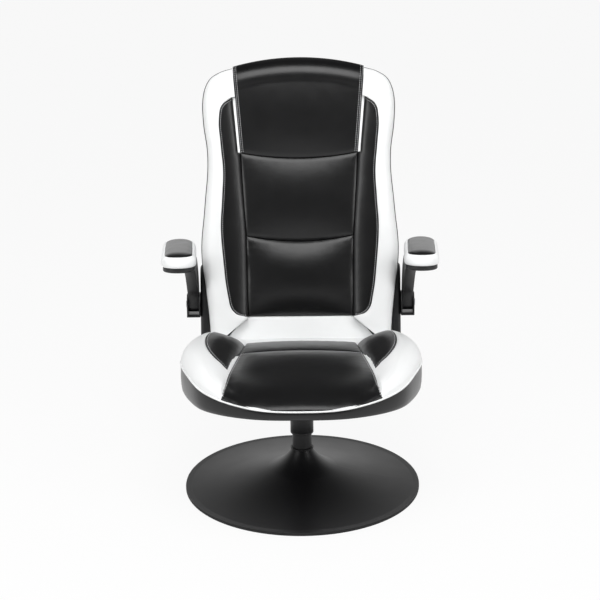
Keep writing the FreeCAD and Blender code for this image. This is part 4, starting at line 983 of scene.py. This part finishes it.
def make_panels():
    """Every sewn cover, and what is laid along their seams."""
    plans = PANELS | {stem + "_left": plan for stem, plan in PAIRED_PANELS.items()}
    covers, sewn = {}, []
    for node, (page, corners, finish, *_) in plans.items():
        covers[node] = cover(node, page, corners, finish)
        if node in SEAT_PANELS:
            rim = np.concatenate([side[:-1] for side in covers[node][2]])
            sewn.append(rim)
            if node == "seat_insert_left":
                sewn.append(rim * (-1, 1, 1))
    swell([(piece, free, plans[node][3]) for node, (piece, free, _) in covers.items()])
    for node, (piece, _, sides) in covers.items():
        page, _, finish, _, tuck, pucker = plans[node]
        seams = [side for side, rows in zip(sides, finish) if rows == SEAM]
        finished(piece, page, seams, tuck, pucker)
        settle(piece, BODY_OF[node], SLOT_OF[node], node)
        if node.endswith("_left"):
            other = node.replace("_left", "_right")
            twin = mirrored(piece, other + "_cover")
            settle(twin, BODY_OF[other], SLOT_OF[other], other)
    make_skirt(make_seat_bolster(sewn))
    make_stitching(covers, {node: plan[0] for node, plan in plans.items()})
    make_back_piping(covers["back_bolster_left"][2][1])


# The studio


FLOOR_SIZE = 60
# How much of the floor's white is light of its own, so that a faint shadow is left.
FLOOR_GLOW = 0.9
# The world's light on matt surfaces, and how its gloss fades from the white backdrop
# behind and below to the dim room in front and above: share from, share to, least light.
ROOM_LIGHT = 0.43
BEHIND = (0.1, 0.7, 0.12)
LOW = (0.6, 0.3, 0.14)


def add_floor():
    """A pale floor without an edge, which the camera sees as white with a faint shadow."""
    finish, shader, _ = new_material("pale floor")
    shader.inputs["Base Color"].default_value = colour("#f0f0f0")
    shader.inputs["Roughness"].default_value = 0.9
    rays = add_node(finish, "ShaderNodeLightPath")
    seen = add_node(finish, "ShaderNodeMath", {"operation": "MAXIMUM"})
    link(finish, rays.outputs["Is Camera Ray"], seen.inputs[0])
    link(finish, rays.outputs["Is Glossy Ray"], seen.inputs[1])
    share = add_node(finish, "ShaderNodeMath", {"operation": "MULTIPLY"})
    link(finish, seen.outputs[0], share.inputs[0])
    share.inputs[1].default_value = FLOOR_GLOW
    glow = add_node(finish, "ShaderNodeEmission", Color=(1, 1, 1, 1), Strength=1.0)
    blend = add_node(finish, "ShaderNodeMixShader")
    for socket, source in zip(blend.inputs, (share, shader, glow)):
        link(finish, source.outputs[0], socket)
    output = finish.node_tree.nodes["Material Output"]
    link(finish, blend.outputs[0], output.inputs["Surface"])
    shape = bmesh.new()
    bmesh.ops.create_grid(shape, x_segments=1, y_segments=1, size=FLOOR_SIZE)
    made("floor", shape, finish)


def add_room():
    """The world: white to the camera, even light, and a gloss of white behind the chair."""
    world = bpy.data.worlds.new("studio")
    scene.world = world
    world.use_nodes = True
    place = add_node(world, "ShaderNodeTexCoord")
    split = add_node(world, "ShaderNodeSeparateXYZ", Vector=place.outputs["Generated"])
    smooth = {"interpolation_type": "SMOOTHSTEP"}
    behind, low = (add_node(world, "ShaderNodeMapRange", smooth, Value=split.outputs[axis],
                            From_Min=start, From_Max=end, To_Min=least).outputs["Result"]
                   for axis, (start, end, least) in (("Y", BEHIND), ("Z", LOW)))
    wall = add_node(world, "ShaderNodeMath", {"operation": "MULTIPLY"})
    link(world, behind, wall.inputs[0])
    link(world, low, wall.inputs[1])
    rays = add_node(world, "ShaderNodeLightPath")
    gloss = add_node(world, "ShaderNodeMix", Factor=rays.outputs["Is Glossy Ray"],
                     A=ROOM_LIGHT, B=wall.outputs[0])
    seen = add_node(world, "ShaderNodeMix", Factor=rays.outputs["Is Camera Ray"],
                    A=gloss.outputs["Result"], B=1.0)
    sky = world.node_tree.nodes["Background"]
    sky.inputs["Color"].default_value = (1, 1, 1, 1)
    link(world, seen.outputs["Result"], sky.inputs["Strength"])


add_camera()
add_floor()
add_room()
add_softbox("top light", (0, -1.2, 2.8), (0, 0, 0.6), 2.2, 1.5, 46)
add_softbox("left light", (-2.4, -1.9, 1.7), (0, 0, 0.55), 0.9, 2.0, 24)
add_softbox("right light", (2.4, -1.9, 1.7), (0, 0, 0.55), 0.9, 2.0, 24)
dress_cad_nodes()
make_panels()
make_stripes()
for side_name, side in SIDES.items():
    make_arm_pad(side_name, side)
    for stem, width in EASED_PAIRS.items():
        eased_copy(f"{stem}_{side_name}", width)
for node, width in EASED.items():
    eased_copy(node, width)

scene.view_settings.view_transform = "Standard"
